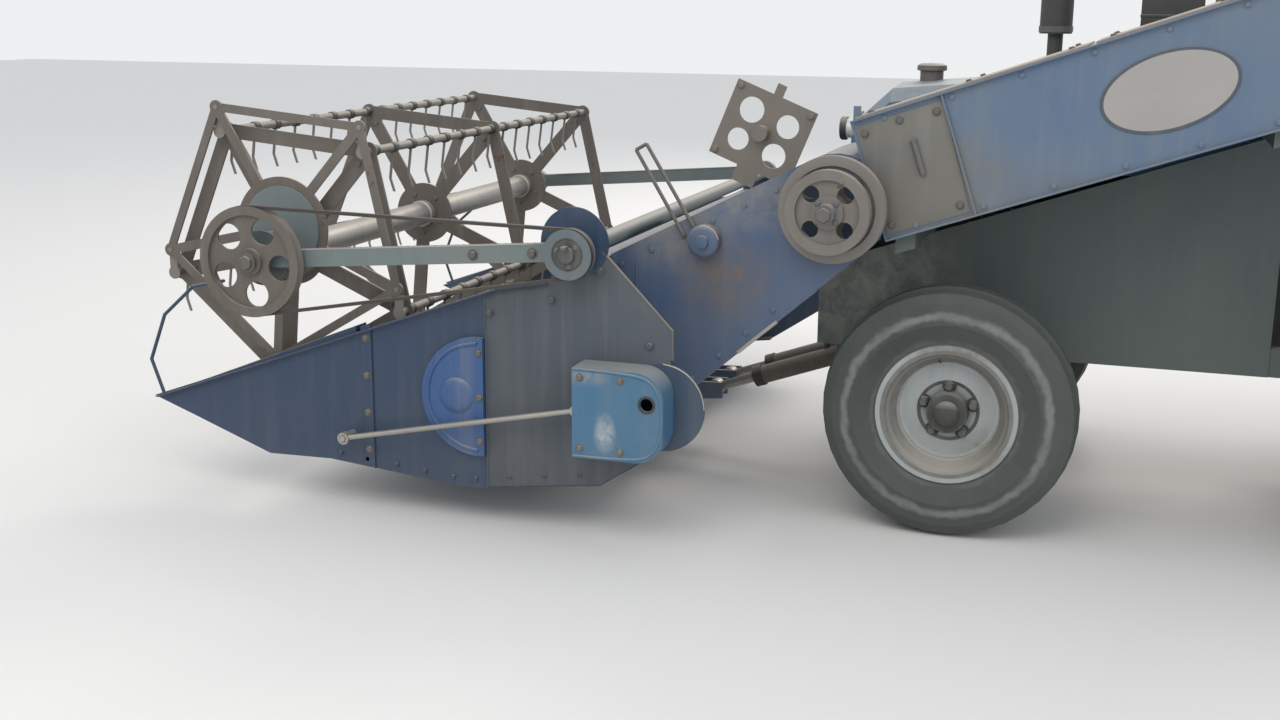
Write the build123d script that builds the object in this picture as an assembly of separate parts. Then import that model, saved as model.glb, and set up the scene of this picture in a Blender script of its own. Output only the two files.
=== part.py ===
from build123d import *
from math import acos, atan2, cos, degrees, hypot, pi, radians, sin
import os

# Mini combine harvester: a tine-reel header in front of a small tractor,
# a long slatted feeder along its left side and a thresher behind it.
# Datum: X forward, Y to the machine's left, Z up, on the ground under the front axle.
# All lengths in millimetres, angles in degrees.

# Clearances
run_fit = 0.05
seat_gap = 0.3
side_gap = 10.0

# Front wheels, 7.50-16
front_tyre_od = 800.0
front_tyre_w = 205.0
front_rim_r = 203.0
front_flange_r = 222.5
front_rim_w = 140.0
front_track = 1360.0
front_steps = 40
front_groove = 16.0

# Rear wheels, 13.6-28
rear_tyre_od = 1330.0
rear_tyre_w = 345.0
rear_rim_r = 356.0
rear_flange_r = 376.0
rear_rim_w = 305.0
rear_track = 1440.0
rear_lugs = 18
rear_lug_h = 30.0
rear_slant = -13.0
bar_share = 0.68
bar_inset = 0.1
wheelbase = 1880.0

# Steering and axles
kingpin_y = 560.0
kingpin_r = 18.0
spindle_r = 24.0
axle_beam_h = 90.0
axle_beam_w = 80.0
rear_axle_r = 70.0
wheel_studs = 5
stud_circle = 139.7
stud_r = 11.0
tie_rod_arm = 150.0
tie_rod_r = 12.0

# Carrier frame
rail_y = 300.0
rail_w = 60.0
rail_z0 = 505.0
rail_h = 90.0
rail_front = 500.0
rail_rear = -3840.0

# Tractor
radiator_x = 330.0
engine_w = 470.0
engine_z0 = 560.0
engine_z1 = 1010.0
engine_x0 = -800.0
engine_x1 = 120.0
gear_w = 330.0
gear_z1 = 880.0
bonnet_w = 540.0
bonnet_nose_x = 430.0
bonnet_rear_x = -960.0
bonnet_z0 = 1120.0
bonnet_nose_top = 1330.0
bonnet_rear_top = 1500.0
bonnet_sheet = 5.0
louvres = 9
louvre_x = 150.0
louvre_pitch = 60.0
grille_bars = 15
grille_rim = 26.0
panel_t = 4.0
panel_rear = -955.0
panel_return = 80.0

# Feeder, both parts
feeder_y = 560.0
feeder_w = 460.0
feeder_sheet = 6.0
pivot_x = 365.0
pivot_z = 1042.0
pivot_r = 30.0
upper_angle = 19.0
upper_depth = 383.0
upper_above = 239.0
upper_start = 115.0
upper_length = 3080.0
feeder_lip = 18.0
feeder_ribs = (400.0, 1400.0, 1960.0, 2520.0)
tail_r = 165.0
feeder_pulley_r = 165.0
feeder_pulley_small_r = 129.0
conveyor_drum = (995.0, 440.0)
conveyor_drum_r = 78.0
conveyor_rear_r = 108.0
conveyor_shaft_r = 20.0
conveyor_chain_t = 9.0
conveyor_slats = 20
slat_h = 22.0
slat_t = 6.0

# Header
header_half = 1143.0
header_sheet = 5.0
auger_x = 1400.0
auger_z = 430.0
auger_r = 250.0
auger_tube_r = 125.0
auger_wall = 6.0
auger_pitch = 400.0
auger_running_gap = 25.0
flight_t = 5.0
back_top_z = 800.0
back_top_x = 1160.0
knife_x = 1990.0
knife_z = 205.0
guard_pitch = 76.2
guard_len = 130.0
mouth_w = 420.0
divider_tip_x = 2650.0
divider_tip_z = 323.0
divider_w = 70.0
flange_w = 22.0
strap_x = 1800.0
divider_rod_r = 6.0
divider_rod = ((2612.0, 330.0), (2655.0, 450.0), (2590.0, 610.0), (2470.0, 715.0), (2350.0, 742.0))

# Reel
reel_x = 2176.0
reel_z = 834.0
reel_r = 455.0
reel_side_gap = 156.0
reel_tube_r = 45.0
reel_hub_r = 118.0
reel_bats = 5
reel_phase = 30.6
bat_r = 14.0
bat_overhang = 13.0
tine_len = 150.0
tine_w = 7.0
tines_per_bat = 15
eccentric_up = 82.0
reel_pulley_r = 181.0
pulley_outside = 97.0
arm_outside = 35.0
reel_arm_h = 55.0
reel_arm_w = 30.0
arm_pivot_x = 1078.0
arm_pivot_z = 922.0
drive_pulley_r = 77.0

# Lift cylinders
lift_y = 100.0
lift_base_x = 400.0
lift_base_z = 440.0
lift_eye_x = 930.0
lift_eye_z = 250.0
lift_barrel_r = 34.0
lift_rod_r = 18.0
lift_barrel_len = 400.0

# Thresher
thresher_front = -2600.0
thresher_rear = -3780.0
thresher_half = 950.0
thresher_z0 = 740.0
thresher_z1 = 1960.0
thresher_sheet = 8.0
drum_x = -3060.0
drum_z = 2010.0
drum_r = 340.0
tow_pin_r = 14.0
drum_pulley_r = 240.0
elevator_x = -3105.0
elevator_w = 170.0
elevator_depth = 98.0
elevator_gap = 32.0
fan_pulley_r = 95.0

# Sizes that follow the header's width
reel_half = header_half - reel_side_gap
bat_half = reel_half + bat_overhang
reel_arm_y = header_half + arm_outside
reel_pulley_y = header_half + pulley_outside

os.makedirs("parts", exist_ok=True)
nodes = {}


def block(x0, x1, y0, y1, z0, z1):
    centre = Pos((x0 + x1) / 2, (y0 + y1) / 2, (z0 + z1) / 2)
    return centre * Box(x1 - x0, y1 - y0, z1 - z0)


def plate(points, y0, y1):
    """A flat piece: an outline in X and Z, from y0 to y1."""
    line = Polyline(*[(x, y0, z) for x, z in points], close=True)
    return extrude(make_face(line), amount=y1 - y0, dir=(0, 1, 0))


def bar(start, end, radius):
    """A round bar between two points."""
    run = Vector(*end) - Vector(*start)
    return Solid.make_cylinder(radius, run.length, Plane(origin=start, z_dir=run))


def disc(x, z, radius, y0, y1, bore=0.0):
    """A disc or ring about an axis along Y."""
    solid = bar((x, y0, z), (x, y1, z), radius)
    if bore:
        solid -= bar((x, y0 - 1, z), (x, y1 + 1, z), bore)
    return solid


def ring_profile(points, x, z):
    """A turned piece about an axis along Y, from (y, radius) points."""
    line = Polyline(*[(x, y, z + r) for y, r in points], close=True)
    return revolve(make_face(line), Axis((x, 0, z), (0, 1, 0)))


def turned(x, z, angle, part):
    """Turn a part about the axis along Y through x, z; positive turns Z towards X."""
    return part.rotate(Axis((x, 0, z), (0, 1, 0)), angle)


def keep(name, *parts):
    solids = []
    for part in parts:
        solids += part.solids()
    print(name, len(solids), round(sum(s.volume for s in solids) / 1e6, 3))
    nodes[name] = Compound(solids)


def polar(x, z, radius, angle):
    """A point at an angle from +X towards +Z."""
    return (x + radius * cos(radians(angle)), z + radius * sin(radians(angle)))


def belt_angles(far, near, r_far, r_near):
    """Heading from the big wheel to the small one, and how far round the belt leaves them."""
    gap = hypot(far[0] - near[0], far[1] - near[1])
    return degrees(atan2(near[1] - far[1], near[0] - far[0])), degrees(acos((r_far - r_near) / gap))


def belt_loop(far, near, r_far, r_near, y0, y1):
    """The filled outline of a belt round two wheels."""
    base, swing = belt_angles(far, near, r_far, r_near)
    corners = [polar(*far, r_far, base + swing), polar(*near, r_near, base + swing),
               polar(*near, r_near, base - swing), polar(*far, r_far, base - swing)]
    quad = plate(corners, y0, y1)
    return quad.fuse(disc(*far, r_far, y0, y1), disc(*near, r_near, y0, y1))


def belt_ring(far, near, r_far, r_near, thick, y0, y1):
    """A belt or chain of one thickness round two wheels."""
    outer = belt_loop(far, near, r_far + thick, r_near + thick, y0, y1)
    return outer - belt_loop(far, near, r_far, r_near, y0 - 1, y1 + 1)


def belt_place(far, near, r_far, r_near, share):
    """A place on a belt's path, and the angle outward there, at a share of its length."""
    base, swing = belt_angles(far, near, r_far, r_near)
    run = hypot(far[0] - near[0], far[1] - near[1]) * sin(radians(swing))
    near_arc = r_near * radians(2 * swing)
    far_arc = r_far * radians(360 - 2 * swing)
    s = share * (2 * run + near_arc + far_arc)
    if s < run:
        point = polar(*far, r_far, base + swing)
        heading = radians(base + swing - 90)
        return (point[0] + s * cos(heading), point[1] + s * sin(heading)), base + swing
    s -= run
    if s < near_arc:
        angle = base + swing - degrees(s / r_near)
        return polar(*near, r_near, angle), angle
    s -= near_arc
    if s < run:
        point = polar(*near, r_near, base - swing)
        heading = radians(base - swing - 90)
        return (point[0] + s * cos(heading), point[1] + s * sin(heading)), base - swing
    angle = base - swing - degrees((s - run) / r_far)
    return polar(*far, r_far, angle), angle


# Tyres and rims

def faceted(rows):
    """A solid from flat facets, given as corner lists that share their edges."""
    faces = []
    for corners in rows:
        for k in range(1, len(corners) - 1):
            faces.append(Face(Wire.make_polygon([corners[0], corners[k], corners[k + 1]])))
    solid = Solid(Shell(faces))
    return solid if solid.volume > 0 else Solid(solid.wrapped.Reversed())


def bead(rim_r, flange_r, rim_w, width, steps):
    """The two rows of a tyre's section that sit in the rim."""
    share = rim_w / width
    grow = 1 / cos(pi / steps)
    return [(share, (rim_r + seat_gap) * grow, 0.6), (share, (flange_r + 4) * grow, 0.6)]


def ribbed_section():
    """Share of the half width and radius of a steering tyre with three ribs."""
    radius = front_tyre_od / 2 / cos(pi / front_steps)
    wall = radius - front_rim_r
    foot = bead(front_rim_r, front_flange_r, front_rim_w - 2 * seat_gap, front_tyre_w, front_steps)
    return foot + [
        (1.0, front_rim_r + wall * 0.45, 0),
        (0.93, radius - 40, 0),
        (0.80, radius - 12, 0),
        (0.52, radius - 5, 0),
        (0.44, radius - front_groove, 0),
        (0.28, radius - front_groove, 0),
        (0.20, radius, 0),
    ]


def barred_section():
    """Share of the half width, radius and share of the slant of a driving tyre."""
    carcass = rear_tyre_od / 2 - rear_lug_h
    wall = carcass - rear_rim_r
    foot = bead(rear_rim_r, rear_flange_r, rear_rim_w - 2 * seat_gap, rear_tyre_w, rear_lugs * 2)
    return foot + [
        (1.0, rear_rim_r + wall * 0.45, 0.8),
        (0.92, carcass - rear_lug_h, 1.0),
        (0.0, carcass, 0.0),
    ]


def tyre(x, y, od, width, half_section, steps, lug_h, slant):
    """A tyre from flat facets; where lug_h is given, cells of the tread rise to bars."""
    radius = od / 2
    left = [(-share, r, lean) for share, r, lean in half_section]
    right = [row for row in half_section[::-1] if row[0] > 0]
    section = left + right
    crown = len(left) - 1
    shoulder = crown - 1

    def spot(k, share, r, lean):
        angle = 90 + 360 / steps * (k - 0.5) + slant * (lean - bar_inset)
        px, pz = polar(x, radius, r, angle)
        return Vector(px, y + share * width / 2, pz)

    def corner(k, i):
        return spot(k, *section[i])

    def bar_top(k, i, other, along):
        share, _, lean = [a + (b - a) * bar_inset for a, b in zip(section[i], section[other])]
        high = radius / cos(radians(bar_share / 2 * 360 / steps))
        return spot(k + along, share, high if i == crown else radius - lug_h * 0.35, lean)

    rows = []
    for k in range(steps):
        for i in range(len(section)):
            j = (i + 1) % len(section)
            foot = [corner(k, i), corner(k + 1, i), corner(k + 1, j), corner(k, j)]
            first = (i, j) == (shoulder, crown) and k % 2 == 0
            second = (i, j) == (crown, crown + 1) and k % 2 == 1
            if not lug_h or not (first or second):
                rows.append(foot)
                continue
            near, far = 0.5 - bar_share / 2, 0.5 + bar_share / 2
            top = [bar_top(k, i, j, near), bar_top(k, i, j, far), bar_top(k, j, i, far),
                   bar_top(k, j, i, near)]
            rows.append(top)
            for a in range(4):
                b = (a + 1) % 4
                rows.append([foot[a], foot[b], top[b], top[a]])
    return faceted(rows)


def front_rim(x, side):
    y = side * front_track / 2
    z = front_tyre_od / 2
    out = side
    half = front_rim_w / 2
    profile = [
        (y - half, front_rim_r),
        (y - half, front_flange_r),
        (y - half - 9, front_flange_r),
        (y - half - 9, front_rim_r - 8),
        (y - 25, front_rim_r - 45),
        (y + 25, front_rim_r - 45),
        (y + half + 9, front_rim_r - 8),
        (y + half + 9, front_flange_r),
        (y + half, front_flange_r),
        (y + half, front_rim_r),
        (y + 30, front_rim_r - 37),
        (y - 30, front_rim_r - 37),
    ]
    rim = ring_profile(profile, x, z)
    face = y + out * 5
    dish = [
        (face, 60.0),
        (face + out * 14, 100.0),
        (face + out * 4, front_rim_r - 43),
        (face - out * 6, front_rim_r - 43),
        (face + out * 4, 100.0),
        (face - out * 10, 60.0),
    ]
    wheel = rim + ring_profile(dish, x, z)
    hub = disc(x, z, 62, *sorted((y - out * 60, y + out * 62)))
    hub += disc(x, z, 38, *sorted((y + out * 60, y + out * 82)))
    hub -= disc(x, z, spindle_r + run_fit, *sorted((y - out * 70, y + out * 72)))
    studs = []
    for k in range(wheel_studs):
        sx, sz = polar(x, z, stud_circle / 2 + 12, 90 + 360 / wheel_studs * k)
        studs.append(disc(sx, sz, stud_r, *sorted((face - out * 8, face + out * 34))))
    return wheel.fuse(hub, *studs)


def rear_rim(x, side):
    y = side * rear_track / 2
    z = rear_tyre_od / 2
    out = side
    half = rear_rim_w / 2
    profile = [
        (y - half, rear_rim_r),
        (y - half, rear_flange_r),
        (y - half - 10, rear_flange_r),
        (y - half - 10, rear_rim_r - 10),
        (y - 60, rear_rim_r - 40),
        (y + 60, rear_rim_r - 40),
        (y + half + 10, rear_rim_r - 10),
        (y + half + 10, rear_flange_r),
        (y + half, rear_flange_r),
        (y + half, rear_rim_r),
        (y + 66, rear_rim_r - 31),
        (y - 66, rear_rim_r - 31),
    ]
    rim = ring_profile(profile, x, z)
    face = y + out * 20
    dish = [
        (face - out * 40, 90.0),
        (face - out * 40, 150.0),
        (face, rear_rim_r - 38),
        (face + out * 10, rear_rim_r - 38),
        (face - out * 28, 140.0),
        (face - out * 28, 90.0),
    ]
    wheel = rim + ring_profile(dish, x, z)
    hub = disc(x, z, 95, *sorted((y - out * 60, y + out * 45)))
    hub -= disc(x, z, rear_axle_r - 15 + run_fit, *sorted((y - out * 61, y + out * 46)))
    return wheel.fuse(hub)


for side, word in ((1, "left"), (-1, "right")):
    front = tyre(0, side * front_track / 2, front_tyre_od, front_tyre_w, ribbed_section(),
                 front_steps, 0, 0)
    keep("front_tyre_" + word, front)
    keep("front_rim_" + word, front_rim(0, side))
    rear = tyre(-wheelbase, side * rear_track / 2, rear_tyre_od, rear_tyre_w, barred_section(),
                rear_lugs * 2, rear_lug_h, rear_slant)
    keep("rear_tyre_" + word, rear)
    keep("rear_rim_" + word, rear_rim(-wheelbase, side))

# Front axle, knuckles and tie rod

axle_z = front_tyre_od / 2
spindle_end = front_track / 2 + 66
boss_h = 150.0
beam = block(-axle_beam_w / 2, axle_beam_w / 2, -kingpin_y, kingpin_y,
             axle_z - axle_beam_h / 2, axle_z + axle_beam_h / 2)
for side in (1, -1):
    pin = Pos(0, side * kingpin_y, axle_z)
    beam += pin * Cylinder(44, boss_h)
    beam -= pin * Cylinder(kingpin_r + run_fit, boss_h + 2)
beam += block(-45, 45, -60, 60, axle_z, rail_z0 - 60 - seat_gap)
keep("front_axle", beam)

knuckle_plate = 22.0
for side, word in ((1, "left"), (-1, "right")):
    y0 = side * kingpin_y
    yoke_z = boss_h / 2 + seat_gap
    kingpin = Pos(0, y0, axle_z) * Cylinder(kingpin_r, boss_h + 2 * seat_gap + 2 * knuckle_plate)
    knuckle = kingpin
    for dz in (yoke_z + knuckle_plate / 2, -yoke_z - knuckle_plate / 2):
        arm = Pos(0, y0, axle_z + dz) * Cylinder(40, knuckle_plate)
        reach = sorted((y0, y0 + side * 62))
        arm += block(-34, 34, reach[0], reach[1], axle_z + dz - knuckle_plate / 2,
                     axle_z + dz + knuckle_plate / 2)
        knuckle += arm
    cheek = sorted((y0 + side * 47, y0 + side * 58))
    knuckle += block(-34, 34, cheek[0], cheek[1], axle_z - yoke_z - knuckle_plate,
                     axle_z + yoke_z + knuckle_plate)
    spindle = sorted((y0 + side * 50, side * spindle_end))
    knuckle += disc(0, axle_z, spindle_r, spindle[0], spindle[1])
    steer_z = axle_z - yoke_z - knuckle_plate
    knuckle += block(-tie_rod_arm - 20, 0, y0 - 16, y0 + 16, steer_z, steer_z + 16)
    keep("knuckle_" + word, knuckle)

tie_z = axle_z - boss_h / 2 - seat_gap - knuckle_plate - 22
tie = bar((-tie_rod_arm, -kingpin_y, tie_z), (-tie_rod_arm, kingpin_y, tie_z), tie_rod_r)
for side in (1, -1):
    tie += Pos(-tie_rod_arm, side * kingpin_y, tie_z + 2.7) * Cylinder(19, 38)
keep("tie_rod", tie)

# Carrier rails and cross members

rails = []
for side in (1, -1):
    y0, y1 = sorted((side * (rail_y - rail_w / 2), side * (rail_y + rail_w / 2)))
    rails.append(block(rail_rear, rail_front, y0, y1, rail_z0, rail_z0 + rail_h))

inner = rail_y - rail_w / 2 - seat_gap
cross = []
cross_top = engine_z0 - seat_gap
for x0, x1 in ((rail_front - 90, rail_front), (-70, 70), (rail_rear, rail_rear + 80),
               (radiator_x - 40, radiator_x + 40)):
    cross.append(block(x0, x1, -inner, inner, rail_z0, cross_top))
cross[1] += block(-60, 60, -75, 75, rail_z0 - 60, rail_z0)
lug_y = 14.0
eye_half = lift_barrel_r + 4.0
for sy in (1, -1):
    for dy in (-1, 1):
        y0, y1 = sorted((sy * lift_y + dy * eye_half, sy * lift_y + dy * (eye_half + lug_y)))
        ear = plate([(lift_base_x - 40, lift_base_z - 40), (lift_base_x + 40, lift_base_z - 40),
                     (rail_front - 4, rail_z0), (rail_front - 4, rail_z0 + 40),
                     (rail_front - 86, rail_z0 + 40), (rail_front - 86, rail_z0)], y0, y1)
        cross[0] += ear
    cross[0] += disc(lift_base_x, lift_base_z, 16, sy * lift_y - eye_half, sy * lift_y + eye_half)
hitch = block(rail_rear - 90, rail_rear, -35, 35, rail_z0 + 20, rail_z0 + 70)
hitch -= block(rail_rear - 91, rail_rear - 20, -36, 36, rail_z0 + 32, rail_z0 + 58)
hitch -= Pos(rail_rear - 55, 0, rail_z0 + 45) * Cylinder(tow_pin_r, 60)
cross[2] += hitch

# Engine, gearbox and rear axle

engine = block(engine_x0, engine_x1, -engine_w / 2, engine_w / 2, engine_z0, engine_z1)
keep("engine_block", engine)

gear_x0 = -wheelbase - 260
gearbox = block(gear_x0, engine_x0 - seat_gap, -gear_w / 2, gear_w / 2, rail_z0 + 5, gear_z1)
half_axle = rear_track / 2 + 44
trumpet_r = rear_tyre_od / 2 - rail_z0 - rail_h - seat_gap
gearbox += disc(-wheelbase, rear_tyre_od / 2, trumpet_r, -half_axle + 240, half_axle - 240)
gearbox += disc(-wheelbase, rear_tyre_od / 2, rear_axle_r - 15, -half_axle, half_axle)
keep("gearbox_and_rear_axle", gearbox)

# Bonnet with grille and lamps

bonnet_sections = (
    # x, top z, half width
    (bonnet_nose_x, bonnet_nose_top - 60, bonnet_w / 2 - 30),
    (bonnet_nose_x - 130, bonnet_nose_top + 60, bonnet_w / 2 - 8),
    (bonnet_rear_x, bonnet_rear_top, bonnet_w / 2),
)


def bonnet_form(shrink):
    faces = []
    for x, top, half in bonnet_sections:
        w = half - shrink
        t = top - shrink
        crown = 55.0
        line = Polyline((x, -w, bonnet_z0 - 1 + (0 if shrink == 0 else -5)), (x, -w, t - crown),
                        (x, -w + crown, t - 12), (x, 0, t), (x, w - crown, t - 12),
                        (x, w, t - crown), (x, w, bonnet_z0 - 1 + (0 if shrink == 0 else -5)),
                        close=True)
        faces.append(make_face(line))
    return loft(faces, ruled=True)


outer = bonnet_form(0.0)
inside = bonnet_form(bonnet_sheet)
shell = outer - inside
nose_w = bonnet_w / 2 - 30
shell += outer & block(bonnet_nose_x - bonnet_sheet, bonnet_nose_x, -nose_w, nose_w, bonnet_z0, 1600)
for side in (1, -1):
    for k in range(louvres):
        x = louvre_x - louvre_pitch * k
        y0, y1 = sorted((side * (bonnet_w / 2 - 12), side * (bonnet_w / 2 + 1)))
        slot_cut = block(x - 12, x + 12, y0, y1, bonnet_z0 + 60, bonnet_z0 + 150)
        shell -= slot_cut
keep("bonnet", *shell.solids())
rad_w = bonnet_w / 2 - 30
radiator = block(radiator_x - 40, radiator_x + 25, -rad_w, rad_w, cross_top + seat_gap, 1180)

grille_x = bonnet_nose_x - 6
grille_z0, grille_z1 = cross_top + seat_gap, bonnet_z0 - 1 - seat_gap
grille = block(grille_x - 14, grille_x + 6, -nose_w, nose_w, grille_z0, grille_z1)
grille -= block(grille_x - 15, grille_x + 7, -nose_w + grille_rim, nose_w - grille_rim,
                grille_z0 + grille_rim, grille_z1 - grille_rim)
pitch = (grille_z1 - grille_z0 - 2 * grille_rim) / (grille_bars + 1)
for k in range(grille_bars):
    z = grille_z0 + grille_rim + pitch * (k + 1)
    grille += block(grille_x - 8, grille_x + 2, -nose_w + 10, nose_w - 10, z - 5, z + 5)
grille += block(grille_x - 10, grille_x + 4, -9, 9, grille_z0 + 10, grille_z1 - 10)
keep("radiator", radiator, grille)

lamps = []
for side in (1, -1):
    y = side * 150
    lamp = Pos(bonnet_nose_x + 22 + seat_gap, y, bonnet_nose_top - 96) * Rot(0, 90, 0) * Cylinder(34, 44)
    lamps.append(lamp)
keep("headlamps", *lamps)

# Air intake stack and exhaust on the bonnet

stack_x = -575.0
stack_y = 120.0
stack_top = 1860.0
stack = block(stack_x - 95, stack_x + 95, stack_y - 80, stack_y + 80,
              bonnet_rear_top - 30, stack_top)
stack -= outer

exhaust_x = -200.0
exhaust = bar((exhaust_x, -130, 1400), (exhaust_x, -130, 1900), 26)
exhaust += bar((exhaust_x, -130, 1560), (exhaust_x, -130, 1800), 55)
exhaust -= outer
keep("bonnet_stacks", stack, exhaust)

# Driver's station

floor_z = gear_z1 + seat_gap
floor = block(-1750, bonnet_rear_x - 1, -430, 300, floor_z, floor_z + 8)
dash_w = bonnet_w / 2 - bonnet_sheet - seat_gap
floor += block(bonnet_rear_x - 5, bonnet_rear_x + 25, -dash_w, dash_w, floor_z, floor_z + 8)
floor += block(bonnet_rear_x + 5, bonnet_rear_x + 25, -dash_w, dash_w, floor_z, bonnet_rear_top - 66)
step_x0, step_x1 = -1170.0, -960.0
step_y0, step_y1 = -560.0, -425.0
for x in (step_x0, step_x1 - 6):
    floor += block(x, x + 6, step_y0, step_y1, 420, floor_z + 8)
for z in (440.0, 590.0, 740.0):
    floor += block(step_x0, step_x1, step_y0, step_y1, z, z + 8)
rail_x0, rail_x1 = -1700, -1200
for x in (rail_x0, rail_x1):
    floor += block(x - 14, x + 14, -428, -400, floor_z, floor_z + 300)
floor += block(rail_x0 - 14, rail_x1 + 14, -428, -400, floor_z + 280, floor_z + 308)
keep("platform", floor)
tank = block(-900, -480, -rail_y - rail_w / 2 - panel_t - 2 * seat_gap - 190,
             -rail_y - rail_w / 2 - panel_t - 2 * seat_gap, 600, 840)
tank = fillet(tank.edges().filter_by(Axis.X), 45)
tank += bar((-820, -450, 830), (-820, -450, 870), 32)
keep("fuel_tank", tank)
seat = block(-2080, -1700, -225, 225, 1090, 1150) + block(-2110, -2040, -225, 225, 1090, 1480)
seat += block(-1960, -1840, -60, 60, gear_z1 + seat_gap, 1095)
keep("seat", seat)
column = bar((-1042, 0, floor_z - 30), (-1262, 0, 1426), 28)
column = column - block(-1100, -900, -60, 60, floor_z - 100, floor_z + 8 + seat_gap)
wheel_plane = Plane(origin=(-1262, 0, 1426), z_dir=(-220, 0, 512))
steering = wheel_plane * Torus(190, 13)
for k in range(3):
    spoke = wheel_plane * Rot(0, 0, 120 * k) * Pos(95, 0, 0) * Box(190, 26, 10)
    steering += spoke
steering += wheel_plane * Cylinder(34, 30)
steering += column
keep("steering_wheel", steering)

fenders = []
for side in (1, -1):
    radius_in = rear_tyre_od / 2 + 55
    y0, y1 = sorted((side * (rear_track / 2 - 190), side * (rear_track / 2 + 160)))
    arch = disc(-wheelbase, rear_tyre_od / 2, radius_in + 5, y0, y1)
    arch -= disc(-wheelbase, rear_tyre_od / 2, radius_in, y0 - 1, y1 + 1)
    keep_box = block(-wheelbase - 560, -wheelbase + 640, y0, y1, rear_tyre_od / 2 + 250,
                     rear_tyre_od + 270)
    arch = arch & keep_box
    web_y = side * (rear_track / 2 - 190)
    w0, w1 = sorted((web_y, web_y + side * 5))
    web = disc(-wheelbase, rear_tyre_od / 2, radius_in + 3, w0, w1)
    web &= block(-wheelbase - 560, -wheelbase + 640, w0, w1, gear_z1 - 80, rear_tyre_od + 270)
    web += block(-wheelbase - 300, -wheelbase + 300, w0, w1, gear_z1 - 80, rear_tyre_od / 2 + 260)
    f0, f1 = sorted((side * (gear_w / 2 + seat_gap), web_y + side * 2))
    web += block(-wheelbase - 60, -wheelbase + 60, f0, f1, gear_z1 - 70, gear_z1 - 50)
    web -= disc(-wheelbase, rear_tyre_od / 2, trumpet_r + seat_gap, -half_axle + 240, half_axle - 240)
    web -= disc(-wheelbase, rear_tyre_od / 2, rear_axle_r - 15 + seat_gap, -half_axle, half_axle)
    fenders.append(arch + web)
keep("rear_fenders", *fenders)

# Upper feeder

up = (-cos(radians(upper_angle)), sin(radians(upper_angle)))
nrm = (sin(radians(upper_angle)), cos(radians(upper_angle)))
y_in, y_out = feeder_y - feeder_w / 2, feeder_y + feeder_w / 2


def along(s, n):
    """A point of the upper feeder: s up the slope behind the pivot, n square to it."""
    return (pivot_x + s * up[0] + n * nrm[0], pivot_z + s * up[1] + n * nrm[1])


upper_below = upper_depth - upper_above
s0, s1 = upper_start, upper_start + upper_length
upper = plate([along(s0, -upper_below), along(s0, upper_above), along(s1, upper_above),
               along(s1, -upper_below)], y_in, y_out)
t = feeder_sheet
upper -= plate([along(s0 - 5, -upper_below + t), along(s0 - 5, upper_above - t),
                along(s1 + 5, upper_above - t), along(s1 + 5, -upper_below + t)],
               y_in + t, y_out - t)
for y0, y1 in ((y_in, y_in + t), (y_out - t, y_out)):
    ear = plate([along(s0 + 40, -90), along(0, -48), along(-48, 0), along(0, 48),
                 along(s0 + 40, 110)], y0, y1)
    upper += ear
s_lip = s1 - 560
for low, high in ((upper_above - 5, upper_above), (-upper_below, -upper_below + 5)):
    lip = plate([along(s0 + 4, low), along(s0 + 4, high), along(s_lip, high), along(s_lip, low)],
                y_in - feeder_lip, y_out + feeder_lip)
    upper += lip - plate([along(s0 - 5, -upper_below + 1), along(s0 - 5, upper_above - 1),
                          along(s_lip + 5, upper_above - 1), along(s_lip + 5, -upper_below + 1)],
                         y_in + 2, y_out - 2)
for s_rib in feeder_ribs:
    upper += plate([along(s_rib, -upper_below + 1), along(s_rib, upper_above - 1),
                    along(s_rib + 6, upper_above - 1), along(s_rib + 6, -upper_below + 1)],
                   y_out - 1, y_out + feeder_lip - 4)
post_x, post_z = along(s0 + 18, upper_above)
upper += block(post_x - 10, post_x + 10, y_out - 40, y_out - 20, post_z - 10, post_z + 40)
shaft_y0, shaft_y1 = y_in - 40, 985.0
upper += disc(pivot_x, pivot_z, pivot_r, shaft_y0, shaft_y1)
keep("upper_feeder", upper)


def under(x):
    """Height just below the upper feeder's floor."""
    s = (pivot_x - x) / cos(radians(upper_angle))
    return pivot_z + s * up[1] - (upper_below + seat_gap) / cos(radians(upper_angle))


stand = []
for sx in (150.0, -900.0):
    rear, front = sx - 30, sx + 30
    y_post = rail_y + 25
    foot = rail_z0 + rail_h + seat_gap
    post = plate([(rear, foot), (front, foot), (front, under(front)), (rear, under(rear))],
                 rail_y - 25, y_post)
    post += plate([(rear, under(rear) - 50), (front, under(front) - 50), (front, under(front)),
                   (rear, under(rear))], rail_y - 25, y_out - 20)
    stand.append(post)
keep("chassis_frame", *rails, *cross, *stand)

# Dark side panels between the rails and the bonnet

panels = []
for side in (1, -1):
    p0, p1 = sorted((side * (rail_y + rail_w / 2 + seat_gap),
                     side * (rail_y + rail_w / 2 + seat_gap + panel_t)))
    if side > 0:
        top_line = [(rail_front, under(rail_front) - 60), (panel_rear, under(panel_rear) - 60)]
    else:
        top_line = [(rail_front, bonnet_z0 - 30), (panel_rear, bonnet_z0 - 30)]
    panel = plate([(rail_front, rail_z0)] + top_line + [(panel_rear, rail_z0)], p0, p1)
    q0, q1 = sorted((p1 if side > 0 else p0, side * (rail_y + rail_w / 2 - panel_return)))
    panel += block(rail_front, rail_front + panel_t, q0, q1, rail_z0, top_line[0][1] - 12)
    panel += block(rail_front - 2, rail_front + panel_t, p0, p1, rail_z0, top_line[0][1] - 12)
    if side < 0:
        for k in range(louvres):
            x = louvre_x - louvre_pitch * k
            panel -= block(x - 12, x + 12, p0 - 1, p1 + 1, 800, 1000)
    panels.append(panel)
keep("side_panels", *panels)

# Feeder pulley, two grooved rims on one hub, turning on the pivot shaft


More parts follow.
